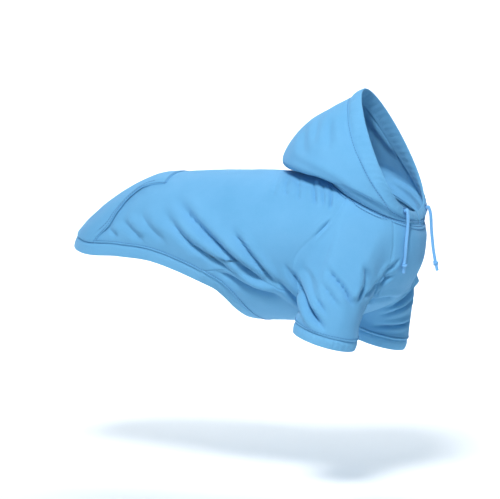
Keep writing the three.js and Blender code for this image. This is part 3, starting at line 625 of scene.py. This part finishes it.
def sleeveGrid(sign):
    drop = sleeve["leftSag"] if sign > 0 else 0
    tilt = np.radians(sleeve["cuffTilt"])
    forward = np.array([np.cos(tilt), 0, -np.sin(tilt)])
    down = np.array([-np.sin(tilt), 0, -np.cos(tilt)])
    centre = np.array([
        torso["neckSeamX"] + sleeve["cuffForward"] * torso["backLength"],
        sign * sleeve["cuffOut"] * halfChest, -sleeve["reach"] - drop])
    at = np.concatenate([rearAt[::-1], neckAt[1:], frontAt[1:-1]])
    station, angle = armholeValues(at)
    start, facing = clothPoint(station, sign * angle)
    middle = start.mean(axis=0)
    into = middle - start
    into = unit(into - facing * dot(into, facing))
    turn = np.radians(curveThrough(armhole["cuff"], at))[:, None]
    end = centre - forward * 0.5 * sleeve["cuffLength"] * np.sin(turn)
    end = end + np.array([0, 0.5 * sign * sleeve["cuffWidth"], 0]) * np.cos(turn)
    run = np.linalg.norm(end - start, axis=-1, keepdims=True)
    crease = np.clip(curveThrough(armhole["crease"], at), 0, 1)[:, None]
    leave = unit(into + (down - into) * crease)
    t = closerAtEnds(sleeve["rings"], sleeve["closeRings"])[:, None, None]
    mix = t * t * (3 - 2 * t)
    grid = start * (1 - mix) + end * mix + leave * t * (1 - t) ** 2 * sleeve["leaving"] * run
    grid = grid - down * t * t * (1 - t) * sleeve["arriving"] * run
    fromSeam, fromCuff, _ = edgeDistances(grid)
    loose = ease(0, sleeve["easeSeam"], fromSeam) * ease(0, sleeve["easeCuff"], fromCuff)
    loose = loose[..., None] * sleeve["easeBy"]
    for _ in range(sleeve["evening"]):
        # the cloth eases round the corners of the armhole away from its seam
        grid = grid + loose * ((np.roll(grid, 1, axis=1) + np.roll(grid, -1, axis=1)) / 2 - grid)
    ways = facingOf(grid, True) * sign
    shown = ease(0, sleeve["foldSeam"], fromSeam) * ease(0, sleeve["foldCuff"], fromCuff)
    lift = foldLift(grid, ways) * shown
    lift = lift + seamDip(fromCuff) + sewnDown(fromCuff, topstitch["cuff"])
    onNeck = ease(neckRear - 0.2, neckRear + 0.1, at) * ease(neckFront + 0.2, neckFront - 0.1, at)
    lift = lift + onNeck * sewnDown(fromSeam, topstitch["neck"])
    startDip = seamDip(fromSeam) * (armhole["sideDepth"] + (1 - armhole["sideDepth"]) * onNeck)
    return grid + ways * lift[..., None] + facing * startDip[..., None], ways


band = {
    "rows": 9, "droopAt": (-0.7, -0.5), "puckerLength": 7, "pucker": 0.22, "seamDepth": 0.9,
    "seamWidth": 1.6, "puff": 0.25,
}


def bandGrid(edge, inner, facing, height, droop):
    # the rows of a band that runs on from a panel's last row, drooping under the belly
    tangent = np.roll(edge, -1, axis=0) - np.roll(edge, 1, axis=0)
    onward = unit(np.cross(facing, tangent))
    onward = onward * np.sign(np.mean(dot(onward, edge - inner)))
    onward[:, 2] -= droop * ease(*band["droopAt"], edge[:, 2] / torso["chestDepth"])
    onward = unit(onward)
    across = unit(np.cross(onward, tangent))
    across = across * np.sign(np.mean(dot(across, facing)))
    return edge + onward * np.linspace(0, 1, band["rows"])[:, None, None] * height, across


def puckers(points, length, depth, seed):
    reach = alongPath(points)
    draw = np.random.default_rng(seed)
    swing = np.cumsum(draw.normal(0, 0.25, len(points)))
    return depth * np.sin(2 * np.pi * reach / length + swing)


def makeBand(name, edge, inner, facing, height, seed, droop=0.0):
    facing = unit(sum(np.roll(facing, step, axis=0) for step in range(-3, 4)))  # evened out
    grid, across = bandGrid(edge, inner, facing, height, droop)
    across = np.broadcast_to(across, grid.shape)
    share = np.linspace(0, 1, band["rows"])[:, None]
    lift = puckers(edge, band["puckerLength"], band["pucker"], seed) * np.sin(np.pi * share) ** 0.5
    lift = lift - band["seamDepth"] * bell(share * height, band["seamWidth"])
    grid = grid + across * lift[..., None]
    return foldedBand(name, grid, across, bandJersey, band["puff"])


sleeves, cuffs, sleeveGrids = {}, {}, {}
for side, sign in (("right", -1), ("left", 1)):
    grid, ways = (part[:, ::-sign] for part in sleeveGrid(sign))
    sleeveGrids[side] = grid
    sleeves[side] = clothPiece("sleeve_cloth_" + side, grid, clothWall, True)
    cuffs[side] = makeBand("cuff_band_" + side, grid[-1], grid[-3], ways[-1], sleeve["bandHeight"], 11)
print("sleeves laid out")

# ---- hem band

hem = {"height": 15, "droop": 0.9, "flat": (0.77, 0.018)}


def ringOf(backRow, chestRow):
    return np.concatenate([backRow[:-1], chestRow[:-1]])


hemBand = makeBand(
    "hem_band_cloth", ringOf(backGrid[-1], chestGrid[-1]), ringOf(backGrid[-4], chestGrid[-4]),
    ringOf(backFacing[-1], chestFacing[-1]), hem["height"], 21, hem["droop"])
print("hem band laid out")

# ---- hood and its drawcord tunnel

hood = {
    "rise": 108, "reach": 66, "throatHeight": 15, "throatLean": 6, "slit": 1.6, "tunnelWidth": 18,
    "backX": [0, .05, .45, .86, 1.02, .88, .54, .07, -.3, -.58],
    "backZ": [-.03, .03, .03, .035, .13, .33, .55, .72, .83, .935],
    "sideX": [.41, .4, .37, .36, .365, .4, .46, .53, .595, .645],
    "sideZ": [-.28, -.22, -.17, -.11, -.05, .02, .07, .09, .09, .085],
    "half": [1.0, 1.07, 1.18, 1.25, 1.26, 1.2, 1.12, 1.03, .96, .93],
    "throat": [0, .1, .2, .28, .37, .5, .62, .75, .88, 1],
    "columns": 210, "rows": 100, "flat": (0.48, 0.2), "area": 0.0385, "tunnelFlat": (0.46, 0.0185),
    "valleyWidth": 1, "steepness": 2, "ridgeAt": 1.5, "ridgeWidth": 1, "offMiddle": (0.1, 0.45),
    "waves": ((0.5, 60, 31), (0.14, 18, 33)), "closeRows": 0.25, "pullRings": 0.9, "foldNeck": 10,
    "foldTunnel": 4, "middleDepth": 0.7, "middleWidth": 1.6, "rollHeight": 0.9, "rollAt": 5,
    "rollWidth": 2.6, "tunnelRows": 11, "pucker": 0.3, "puckerLength": 9, "puff": 0.7,
    "dents": [
        (6.5, 2.6, 1.3, .9, [(62, 70), (72, 50), (82, 34), (92, 18)]),
        (7, 2.6, 1.3, .9, [(40, 70), (48, 48), (54, 28)]),
        (8, 2.4, 1.3, .8, [(6, 62), (12, 40), (20, 22)]),
        (7, 2.2, 1.2, .8, [(22, 70), (28, 50), (30, 34)]),
        (5, 1.3, 1.1, 0, [(-8, 20), (24, 10), (60, -2), (96, -18)]),
        (3.6, 3.6, 1.2, 1.6, [(72, -12), (90, -19), (106, -27), (123, -38), (141, -55)]),
    ],
}
lastRing = len(hood["half"]) - 1


def hoodPoint(ring, angle):
    keys = ("backX", "backZ", "sideX", "sideZ", "half", "throat")
    backX, backZ, sideX, sideZ, half, throat = (curveThrough(hood[key], ring) for key in keys)
    seamX, long = torso["neckSeamX"], torso["neckLength"]
    throatX = seamX + long * np.cos(neckDrop)
    throatZ = torso["topZ"][0] * torso["chestDepth"] - long * np.sin(neckDrop)
    turn = np.radians(angle)

    def through(front, side, rear):
        swing = (front - rear) / 2 * np.cos(turn)
        return (front + 2 * side + rear) / 4 + swing + (front - 2 * side + rear) / 4 * np.cos(2 * turn)

    x = through(throatX - throat * hood["throatLean"], seamX + sideX * long, seamX - backX * hood["reach"])
    z = through(throatZ + throat * hood["throatHeight"], sideZ * hood["rise"], backZ * hood["rise"])
    return stack(x, half * halfNeck * np.sin(turn), z + torso["wall"] / 2)


throatTurn = np.degrees(hood["slit"] / halfNeck)
hoodAngles = np.linspace(throatTurn, 360 - throatTurn, hood["columns"] + 1)


def ringBelowEdge(angle, width):
    # the ring at a width of cloth below the hood's edge
    rings = np.linspace(lastRing, 0.35 * lastRing, 160)[:, None]
    reach = alongColumns(hoodPoint(rings, angle[None, :]))
    return np.array([np.interp(width, column, rings[:, 0]) for column in reach.T])


tunnelRing = ringBelowEdge(hoodAngles, hood["tunnelWidth"])


def hoodLift(points, facing):
    side = np.sign(points[..., 1])
    shown = ease(*hood["offMiddle"], facing[..., 1] * side)
    lift = ripples(points, hood["waves"])
    flat = points[..., [0, 2]]
    for *sizes, line in hood["dents"]:
        share, away = besideLine(flat, smoothLine(line, 4 * len(line)))
        lift = lift + shown * creased(away, hood, *sizes) * np.sin(np.pi * share) ** 0.75
    return lift


def hoodGridPoints():
    ring = tunnelRing * closerAtEnds(hood["rows"], hood["closeRows"])[:, None]
    grid = hoodPoint(ring, np.broadcast_to(hoodAngles, ring.shape))
    neck = torsoPoint(0 * hoodAngles, 180 - hoodAngles)
    pull = np.clip(1 - ring / hood["pullRings"], 0, 1) ** 2
    grid = grid + (neck - hoodPoint(0 * hoodAngles, hoodAngles)) * pull[..., None]
    facing = facingOf(grid)
    first, last, _ = edgeDistances(grid)
    lift = hoodLift(grid, facing) * ease(0, hood["foldNeck"], first) * ease(0, hood["foldTunnel"], last)
    middleSeam = bell(np.radians(hoodAngles - 180) * halfNeck, hood["middleWidth"])
    lift = lift - hood["middleDepth"] * middleSeam * ease(0, 3, first)
    lift = lift + seamDip(first) + seamDip(last) + sewnDown(last, topstitch["tunnel"])
    # the cloth rolls over its seam
    lift = lift + hood["rollHeight"] * bell(first - hood["rollAt"], hood["rollWidth"])
    return grid + facing * lift[..., None]


hoodGrid = hoodGridPoints()
hoodCloth = clothPiece("hood_cloth", hoodGrid[::-1], clothWall)


def tunnelGridPoints():
    share = np.linspace(0, 1, hood["tunnelRows"])[:, None]
    ring = tunnelRing + (lastRing - tunnelRing) * share
    angle = np.broadcast_to(hoodAngles, ring.shape)
    grid, facing = hoodPoint(ring, angle), surfaceFacing(hoodPoint, ring, angle)
    wave = puckers(grid[0], hood["puckerLength"], hood["pucker"], 41) * np.sin(np.pi * share) ** 0.5
    return grid + facing * (wave + seamDip(share * hood["tunnelWidth"]))[..., None], facing


tunnelCloth = foldedBand("tunnel_cloth", *tunnelGridPoints(), brushedJersey, hood["puff"], False)
print("hood laid out")

# ---- kangaroo pocket over the rump

pocket = {
    "topStation": 7.25, "topAngle": 34, "hemAngle": 78, "rows": 96, "columns": 150, "wall": 1.5,
    "down": [0, .2, .33, .45, .62, .8, 1], "share": [0, .03, .22, .5, .8, .89, 1],
    "lie": 2, "swell": 0.8, "lip": 1, "sunk": 0.9, "flat": (0.195, 0.16), "area": 0.0228,
    "closeRows": 0.4, "even": 0.35, "openFrom": (0.14, 0.24), "openTo": (0.66, 0.78),
    "swellAt": (2, 25), "hemReach": 20, "sunkWidth": 3, "lipWidth": 5, "rowDepth": 0.35, "rowWidth": 1.1,
}


def pocketGridPoints():
    down = closerAtEnds(pocket["rows"], pocket["closeRows"])[:, None]
    widening = curveThrough(pocket["share"], down, pocket["down"])
    spread = pocket["topAngle"] + (pocket["hemAngle"] - pocket["topAngle"]) * widening
    angle = spread * acrossShares(pocket["columns"], pocket["even"])
    station = pocket["topStation"] + (hemAt(angle) - pocket["topStation"]) * down
    grid, facing = clothPoint(station, angle)
    top, bottom, side = edgeDistances(grid)
    opening = ease(*pocket["openFrom"], down) * (1 - ease(*pocket["openTo"], down))
    swell = pocket["swell"] * ease(*pocket["swellAt"], np.minimum(top, side))
    lie = pocket["lie"] + swell * ease(0, pocket["hemReach"], bottom)
    sunk = bell(top, pocket["sunkWidth"]) + (1 - opening) * bell(side, pocket["sunkWidth"])
    lie = lie - pocket["sunk"] * sunk
    lie = lie + pocket["lip"] * opening * bell(side, pocket["lipWidth"]) + seamDip(bottom)
    for line in topstitch["pocket"]:
        lie = lie - pocket["rowDepth"] * bell(side - line, pocket["rowWidth"])
    return grid + facing * lie[..., None]


pocketGrid = pocketGridPoints()
pocketCloth = clothPiece("pocket_cloth", pocketGrid, pocket["wall"])
print("pocket laid out")

# ---- drawcords with knots, and the stitched eyelets

cords = {
    "diameter": 4, "lead": 4.4, "eyeletAngle": 30, "eyeletDepth": 6.5, "eyeletRadius": 3.4, "sides": 24,
    "step": 0.6, "strands": 4, "strandPitch": 5.2, "groove": 0.95, "strand": 0.075, "endSwell": 0.14,
    "endLength": 2.5, "tipTaper": 0.35, "tipLength": 1,
    "right": [
        (144.4, -34, -49.5), (144.2, -33.8, -59), (143.8, -35, -70), (143.4, -36.8, -82),
        (142.5, -36.5, -94), (140.9, -35, -103), (140.5, -34.7, -106), (139.9, -34.2, -109),
        (138.8, -33, -116)],
    "left": [
        (146, 34, -49.5), (147, 34, -65), (149.6, 33.2, -88), (152.6, 33, -105), (153.4, 33, -108.5),
        (154.1, 33, -111.5), (155.6, 33, -118)],
}
knot = {"turns": 1.7, "wrap": 1.9, "length": 4.6, "radius": 1.75, "steps": 60, "sides": 16}


def eyeletSeat(side):
    angle = np.array([cords["eyeletAngle"] if side == "left" else 360 - cords["eyeletAngle"]], float)
    ring = ringBelowEdge(angle, cords["eyeletDepth"])
    return hoodPoint(ring, angle)[0], surfaceFacing(hoodPoint, ring, angle)[0]


def tubePiece(name, path, radii):
    # rings round a path, with a radius for each ring and side
    count, sides = radii.shape
    tangent = unit(np.gradient(path, axis=0))
    across = np.zeros_like(path)
    way = np.array([0, 1, 0.1])
    for k, ahead in enumerate(tangent):
        way = unit(way - ahead * (way @ ahead))
        across[k] = way
    turn = np.linspace(0, 2 * np.pi, sides, endpoint=False)[None, :, None]
    rims = across[:, None] * np.cos(turn) + np.cross(tangent, across)[:, None] * np.sin(turn)
    points = (path[:, None] + rims * radii[..., None]).reshape(-1, 3)
    faces = gridFaces(count, sides, True).tolist()
    faces += [list(range(sides))[::-1], [(count - 1) * sides + k for k in range(sides)]]
    around = np.tile(np.linspace(0, 2 * np.pi * radii.mean(), sides), count)
    return makePiece(name, points, faces, stack(around, np.repeat(alongPath(path), sides)), cordYarn)


def braidRadii(path, sides, radius):
    # crossing strands of a round braid, four each way
    turn = cords["strands"] * np.linspace(0, 2 * np.pi, sides, endpoint=False)[None, :]
    wind = alongPath(path)[:, None] * 2 * np.pi / cords["strandPitch"]
    over = np.maximum(np.cos(turn + wind), np.cos(turn - wind))
    return radius * (cords["groove"] + cords["strand"] * over)


def evenPath(points, step):
    fine = smoothLine(points, 40 * len(points))
    reach = alongPath(fine)
    at = np.linspace(0, reach[-1], int(reach[-1] / step) + 1)
    return stack(*(np.interp(at, reach, column) for column in fine.T))


def makeCord(side):
    seat, facing = eyeletSeat(side)
    start = seat + facing  # one millimetre out
    route = [start + facing * share * cords["lead"] for share in (0, 0.5, 1)] + cords[side]
    path = evenPath(route, cords["step"])
    end = alongPath(path)[-1] - alongPath(path)[:, None]
    radii = braidRadii(path, cords["sides"], cords["diameter"] / 2)
    radii = radii * (1 + cords["endSwell"] * ease(cords["endLength"], 0, end))
    radii = radii * (1 - cords["tipTaper"] * ease(cords["tipLength"], 0, end))
    braid = tubePiece("drawcord_braid_" + side, path, radii)
    k = int(np.argmin(np.linalg.norm(path - cords[side][-3], axis=-1)))
    ahead = unit(path[k + 3] - path[k - 3])
    one = unit(np.cross(ahead, [1, 0.2, 0]))
    share = np.linspace(0, 1, knot["steps"])[:, None]
    turn = 2 * np.pi * knot["turns"] * share
    wrap = knot["wrap"] * np.sin(np.pi * share) ** 0.35
    coil = path[k] + (one * np.cos(turn) + np.cross(ahead, one) * np.sin(turn)) * wrap
    coil = coil + ahead * (share - 0.5) * knot["length"]
    radii = braidRadii(coil, knot["sides"], knot["radius"])
    return braid, tubePiece("drawcord_knot_" + side, coil, radii), path, start


drawcords = {side: makeCord(side) for side in ("right", "left")}
print("drawcords laid")

# ---- stitching: a row of thread stitches along each sewn line

# The thread is drawn 0.8 mm thick, coarser than the real 0.3 mm, so that the stitches show, and dark, so
# that each row also carries painted shade of its crease.
stitch = {
    "length": 3.1, "pitch": 3.5, "thread": 0.8, "turn": 0, "sink": 0.1, "wander": 0.06, "seed": 7,
    "segments": 6, "rings": 5,
}


def stitchTree(name, material):
    tree = bpy.data.node_groups.new(name, "GeometryNodeTree")
    face = tree.interface
    for way in ("OUTPUT", "INPUT"):
        face.new_socket("Geometry", in_out=way, socket_type="NodeSocketGeometry")
    sockets = {}
    for label in ("length", "pitch", "thread", "turn"):
        sockets[label] = face.new_socket(label, in_out="INPUT", socket_type="NodeSocketFloat").identifier
    given = addNode(tree, "NodeGroupInput").outputs
    curve = addNode(tree, "GeometryNodeMeshToCurve", ("Mesh", given["Geometry"]))
    spaced = addNode(
        tree, "GeometryNodeResampleCurve", ("Curve", curve), ("Length", given["pitch"]), mode="LENGTH")
    facing = addNode(tree, "GeometryNodeInputNamedAttribute", ("Name", "facing"), data_type="FLOAT_VECTOR")
    tangent = addNode(tree, "GeometryNodeInputTangent")
    upright = addNode(tree, "FunctionNodeAlignRotationToVector", ("Vector", facing), axis="Z")
    aligned = addNode(
        tree, "FunctionNodeAlignRotationToVector", ("Rotation", upright), ("Vector", tangent),
        axis="X", pivot_axis="Z")
    wander = addNode(
        tree, "FunctionNodeRandomValue", ("Min", -stitch["wander"]), ("Max", stitch["wander"]),
        ("Seed", stitch["seed"]), data_type="FLOAT")
    swing = addNode(tree, "ShaderNodeMath", (0, given["turn"]), (1, wander.outputs[1]), operation="ADD")
    euler = addNode(tree, "ShaderNodeCombineXYZ", ("Z", swing))
    turned = addNode(
        tree, "FunctionNodeRotateRotation", ("Rotation", aligned), ("Rotate By", euler),
        rotation_space="LOCAL")
    bead = addNode(
        tree, "GeometryNodeMeshUVSphere", ("Segments", stitch["segments"]), ("Rings", stitch["rings"]),
        ("Radius", 0.5))
    size = addNode(
        tree, "ShaderNodeCombineXYZ", (0, given["length"]), (1, given["thread"]), (2, given["thread"]))
    thin = addNode(tree, "GeometryNodeTransform", ("Geometry", bead), ("Scale", size))
    smooth = addNode(tree, "GeometryNodeSetShadeSmooth", ("Geometry", thin))
    placed = addNode(
        tree, "GeometryNodeInstanceOnPoints", ("Points", spaced), ("Instance", smooth),
        ("Rotation", turned))
    real = addNode(tree, "GeometryNodeRealizeInstances", ("Geometry", placed))
    painted = addNode(tree, "GeometryNodeSetMaterial", ("Geometry", real), ("Material", material))
    addNode(tree, "NodeGroupOutput", ("Geometry", painted))
    return tree, sockets


threadTree, threadSockets = stitchTree("thread_stitches", threadWithPaintedShade)


def sewnLines(name, lines, lift, facts=stitch):
    # lines holds (points, facing) pairs, or (points, facing, True) for a closed one
    points, edges, ways = [], [], []
    for line in lines:
        first = len(points)
        points += ((line[0] + line[1] * lift) * mm).tolist()
        ways += line[1].tolist()
        edges += [(k, k + 1) for k in range(first, len(points) - 1)]
        if len(line) > 2:
            edges.append((len(points) - 1, first))
    mesh = bpy.data.meshes.new(name)
    mesh.from_pydata(points, edges, [])
    facing = mesh.attributes.new("facing", "FLOAT_VECTOR", "POINT")
    facing.data.foreach_set("vector", np.array(ways, float).ravel())
    source = addObject(name + "_path", mesh)
    modifier = source.modifiers.new("stitches", "NODES")
    modifier.node_group = threadTree
    for label, socket in threadSockets.items():
        modifier[socket] = facts[label] * (1 if label == "turn" else mm)
    result = bpy.data.meshes.new_from_object(source.evaluated_get(bpy.context.evaluated_depsgraph_get()))
    bpy.data.objects.remove(source)
    result.name = name
    return addObject(name, result)


bodyMiddle = np.array([-80, 0, -80])
hoodMiddle = np.array([70, 0, 20])
threadTop = stitch["thread"] / 2 - stitch["sink"]
clothTop = clothWall / 2 + threadTop

hemBack, hemChest = (
    lineFrom(grid, topstitch["hem"][0], bodyMiddle, True) for grid in (backGrid, chestGrid))
hemRing = (ringOf(hemBack[0], hemChest[0]), ringOf(hemBack[1], hemChest[1]), True)
hemStitches = sewnLines("hem_stitches", [hemRing], clothTop)

neckPart = slice(len(rearAt) - 1, len(rearAt) - 1 + len(neckAt))
neckParts = (
    backGrid, chestGrid, sleeveGrids["right"][:, neckPart], sleeveGrids["left"][:, ::-1][:, neckPart])
neckStitches = sewnLines("neck_stitches", [
    lineFrom(part, distance, bodyMiddle) for distance in topstitch["neck"] for part in neckParts], clothTop)

cuffStitches = {}
for side, grid in sleeveGrids.items():
    line = lineFrom(grid, topstitch["cuff"][0], grid[-1].mean(axis=0), True)
    cuffStitches[side] = sewnLines("cuff_stitches_" + side, [(*line, True)], clothTop)

tunnelStitches = sewnLines(
    "tunnel_stitches", [lineFrom(hoodGrid, topstitch["tunnel"][0], hoodMiddle, True)], clothTop)


def pocketLines():
    turned = np.swapaxes(pocketGrid, 0, 1)
    rows = slice(int(0.2 * len(pocketGrid)), int(0.7 * len(pocketGrid)))
    lines = [lineFrom(pocketGrid, topstitch["pocketTop"][0], bodyMiddle)]
    for fromLast in (False, True):
        near, far = (lineFrom(turned, distance, bodyMiddle, fromLast) for distance in topstitch["pocket"])
        lines += [near, (far[0][rows], far[1][rows])]
    return lines


pocketStitches = sewnLines("pocket_stitches", pocketLines(), pocket["wall"] / 2 + threadTop)

# close stitches round each eyelet, across its edge
satin = {**stitch, "length": 2.6, "pitch": 0.5, "thread": 0.75, "turn": np.pi / 2, "lift": 2, "steps": 48}


def makeEyelet(side):
    seat, facing = eyeletSeat(side)
    one = unit(np.cross(facing, [0, 0, 1]))
    turn = np.linspace(0, 2 * np.pi, satin["steps"], endpoint=False)[:, None]
    ring = seat + (one * np.cos(turn) + np.cross(facing, one) * np.sin(turn)) * cords["eyeletRadius"]
    ways = np.repeat(facing[None], len(ring), axis=0)
    return sewnLines("eyelet_satin_" + side, [(ring, ways, True)], satin["lift"], satin)


eyelets = {side: makeEyelet(side) for side in ("right", "left")}
print("stitching sewn")

# ---- what stands for what, and how each soft piece is held

parts = [
    (back, "jersey", "back_panel"), (chest, "jersey", "chest_panel"), (hoodCloth, "jersey", "hood"),
    (tunnelCloth, "jersey", "hood_tunnel"), (pocketCloth, "jersey", "pocket"),
    (hemBand, "band", "hem_band"), (hemStitches, "cord"), (neckStitches, "cord"),
    (tunnelStitches, "cord"), (pocketStitches, "cord"),
]
for side, (braid, coil, *_) in drawcords.items():
    parts += [
        (sleeves[side], "jersey", "sleeve_" + side), (cuffs[side], "band", "cuff_" + side),
        (eyelets[side], "cord", "eyelet_" + side), (braid, "cord", "drawcord_" + side),
        (coil, "cord"), (cuffStitches[side], "cord")]
for piece, slot, *nodes in parts:
    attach(piece, "root")
    if nodes:
        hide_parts(*nodes)

for side in ("right", "left"):
    braid, coil, path, start = drawcords[side]
    length = alongPath(path)[-1] * mm

# ---- floor, backdrop and light

studio = {
    "paper": "#f4f4f3", "roughness": 0.95, "floorZ": -390, "near": -4200, "under": -1000,
    "bendStart": 2200, "bend": 600, "high": 4600, "halfWidth": 5200, "sky": "#98d4ff", "skyLight": 0.28,
    # each light's place, the point that it faces, its size and its power
    "lights": {
        "key": ((420, -1350, 1500), (-50, 0, -90), 520, 43),
        "fill": ((-1900, -1500, 600), (-50, 0, -90), 1600, 4),
        "back": ((-600, 1500, 1500), (-50, 0, -90), 1600, 7),
        "paper": ((-700, 1500, 1900), (-1250, 2600, 300), 1500, 75),
    },
}


def makeStudio():
    paper = bpy.data.materials.new("matt_paper")  # seamless background paper, quite matt
    paper.use_nodes = True
    shader = paper.node_tree.nodes["Principled BSDF"]
    shader.inputs["Base Color"].default_value = linearColour(studio["paper"])
    shader.inputs["Roughness"].default_value = studio["roughness"]
    turn = np.radians(view["azimuth"])
    right = np.array([np.cos(turn), np.sin(turn), 0])
    away = np.array([-np.sin(turn), np.cos(turn), 0])
    bend = studio["bend"]
    profile = [(studio["near"], 0), (studio["under"], 0)]
    for b in np.linspace(0, np.pi / 2, 14):
        profile.append((studio["bendStart"] + bend * np.sin(b), bend - bend * np.cos(b)))
    profile.append((profile[-1][0], studio["high"]))
    points = [
        right * across + away * deep + np.array([0, 0, studio["floorZ"] + up])
        for deep, up in profile for across in (-studio["halfWidth"], studio["halfWidth"])]
    faces = [(2 * k, 2 * k + 2, 2 * k + 3, 2 * k + 1) for k in range(len(profile) - 1)]
    mesh = bpy.data.meshes.new("paper_sweep")
    mesh.from_pydata((np.array(points) * mm).tolist(), [], faces)
    mesh.polygons.foreach_set("use_smooth", [True] * len(faces))
    mesh.materials.append(paper)
    addObject("paper_sweep", mesh)
    for name, (place, aim, size, power) in studio["lights"].items():
        data = bpy.data.lights.new(name, "AREA")
        data.shape, data.size, data.energy = "DISK", size * mm, power
        lamp = addObject(name, data)
        lamp.location = Vector(place) * mm
        lamp.rotation_euler = (Vector(aim) * mm - lamp.location).to_track_quat("-Z", "Y").to_euler()
        lamp.visible_camera = False
    world = bpy.data.worlds.new("studio")
    world.use_nodes = True
    sky = world.node_tree.nodes["Background"].inputs
    sky["Color"].default_value = linearColour(studio["sky"])
    sky["Strength"].default_value = studio["skyLight"]
    bpy.context.scene.world = world
    bpy.context.scene.view_settings.view_transform = "Standard"


makeStudio()
print("studio lit")
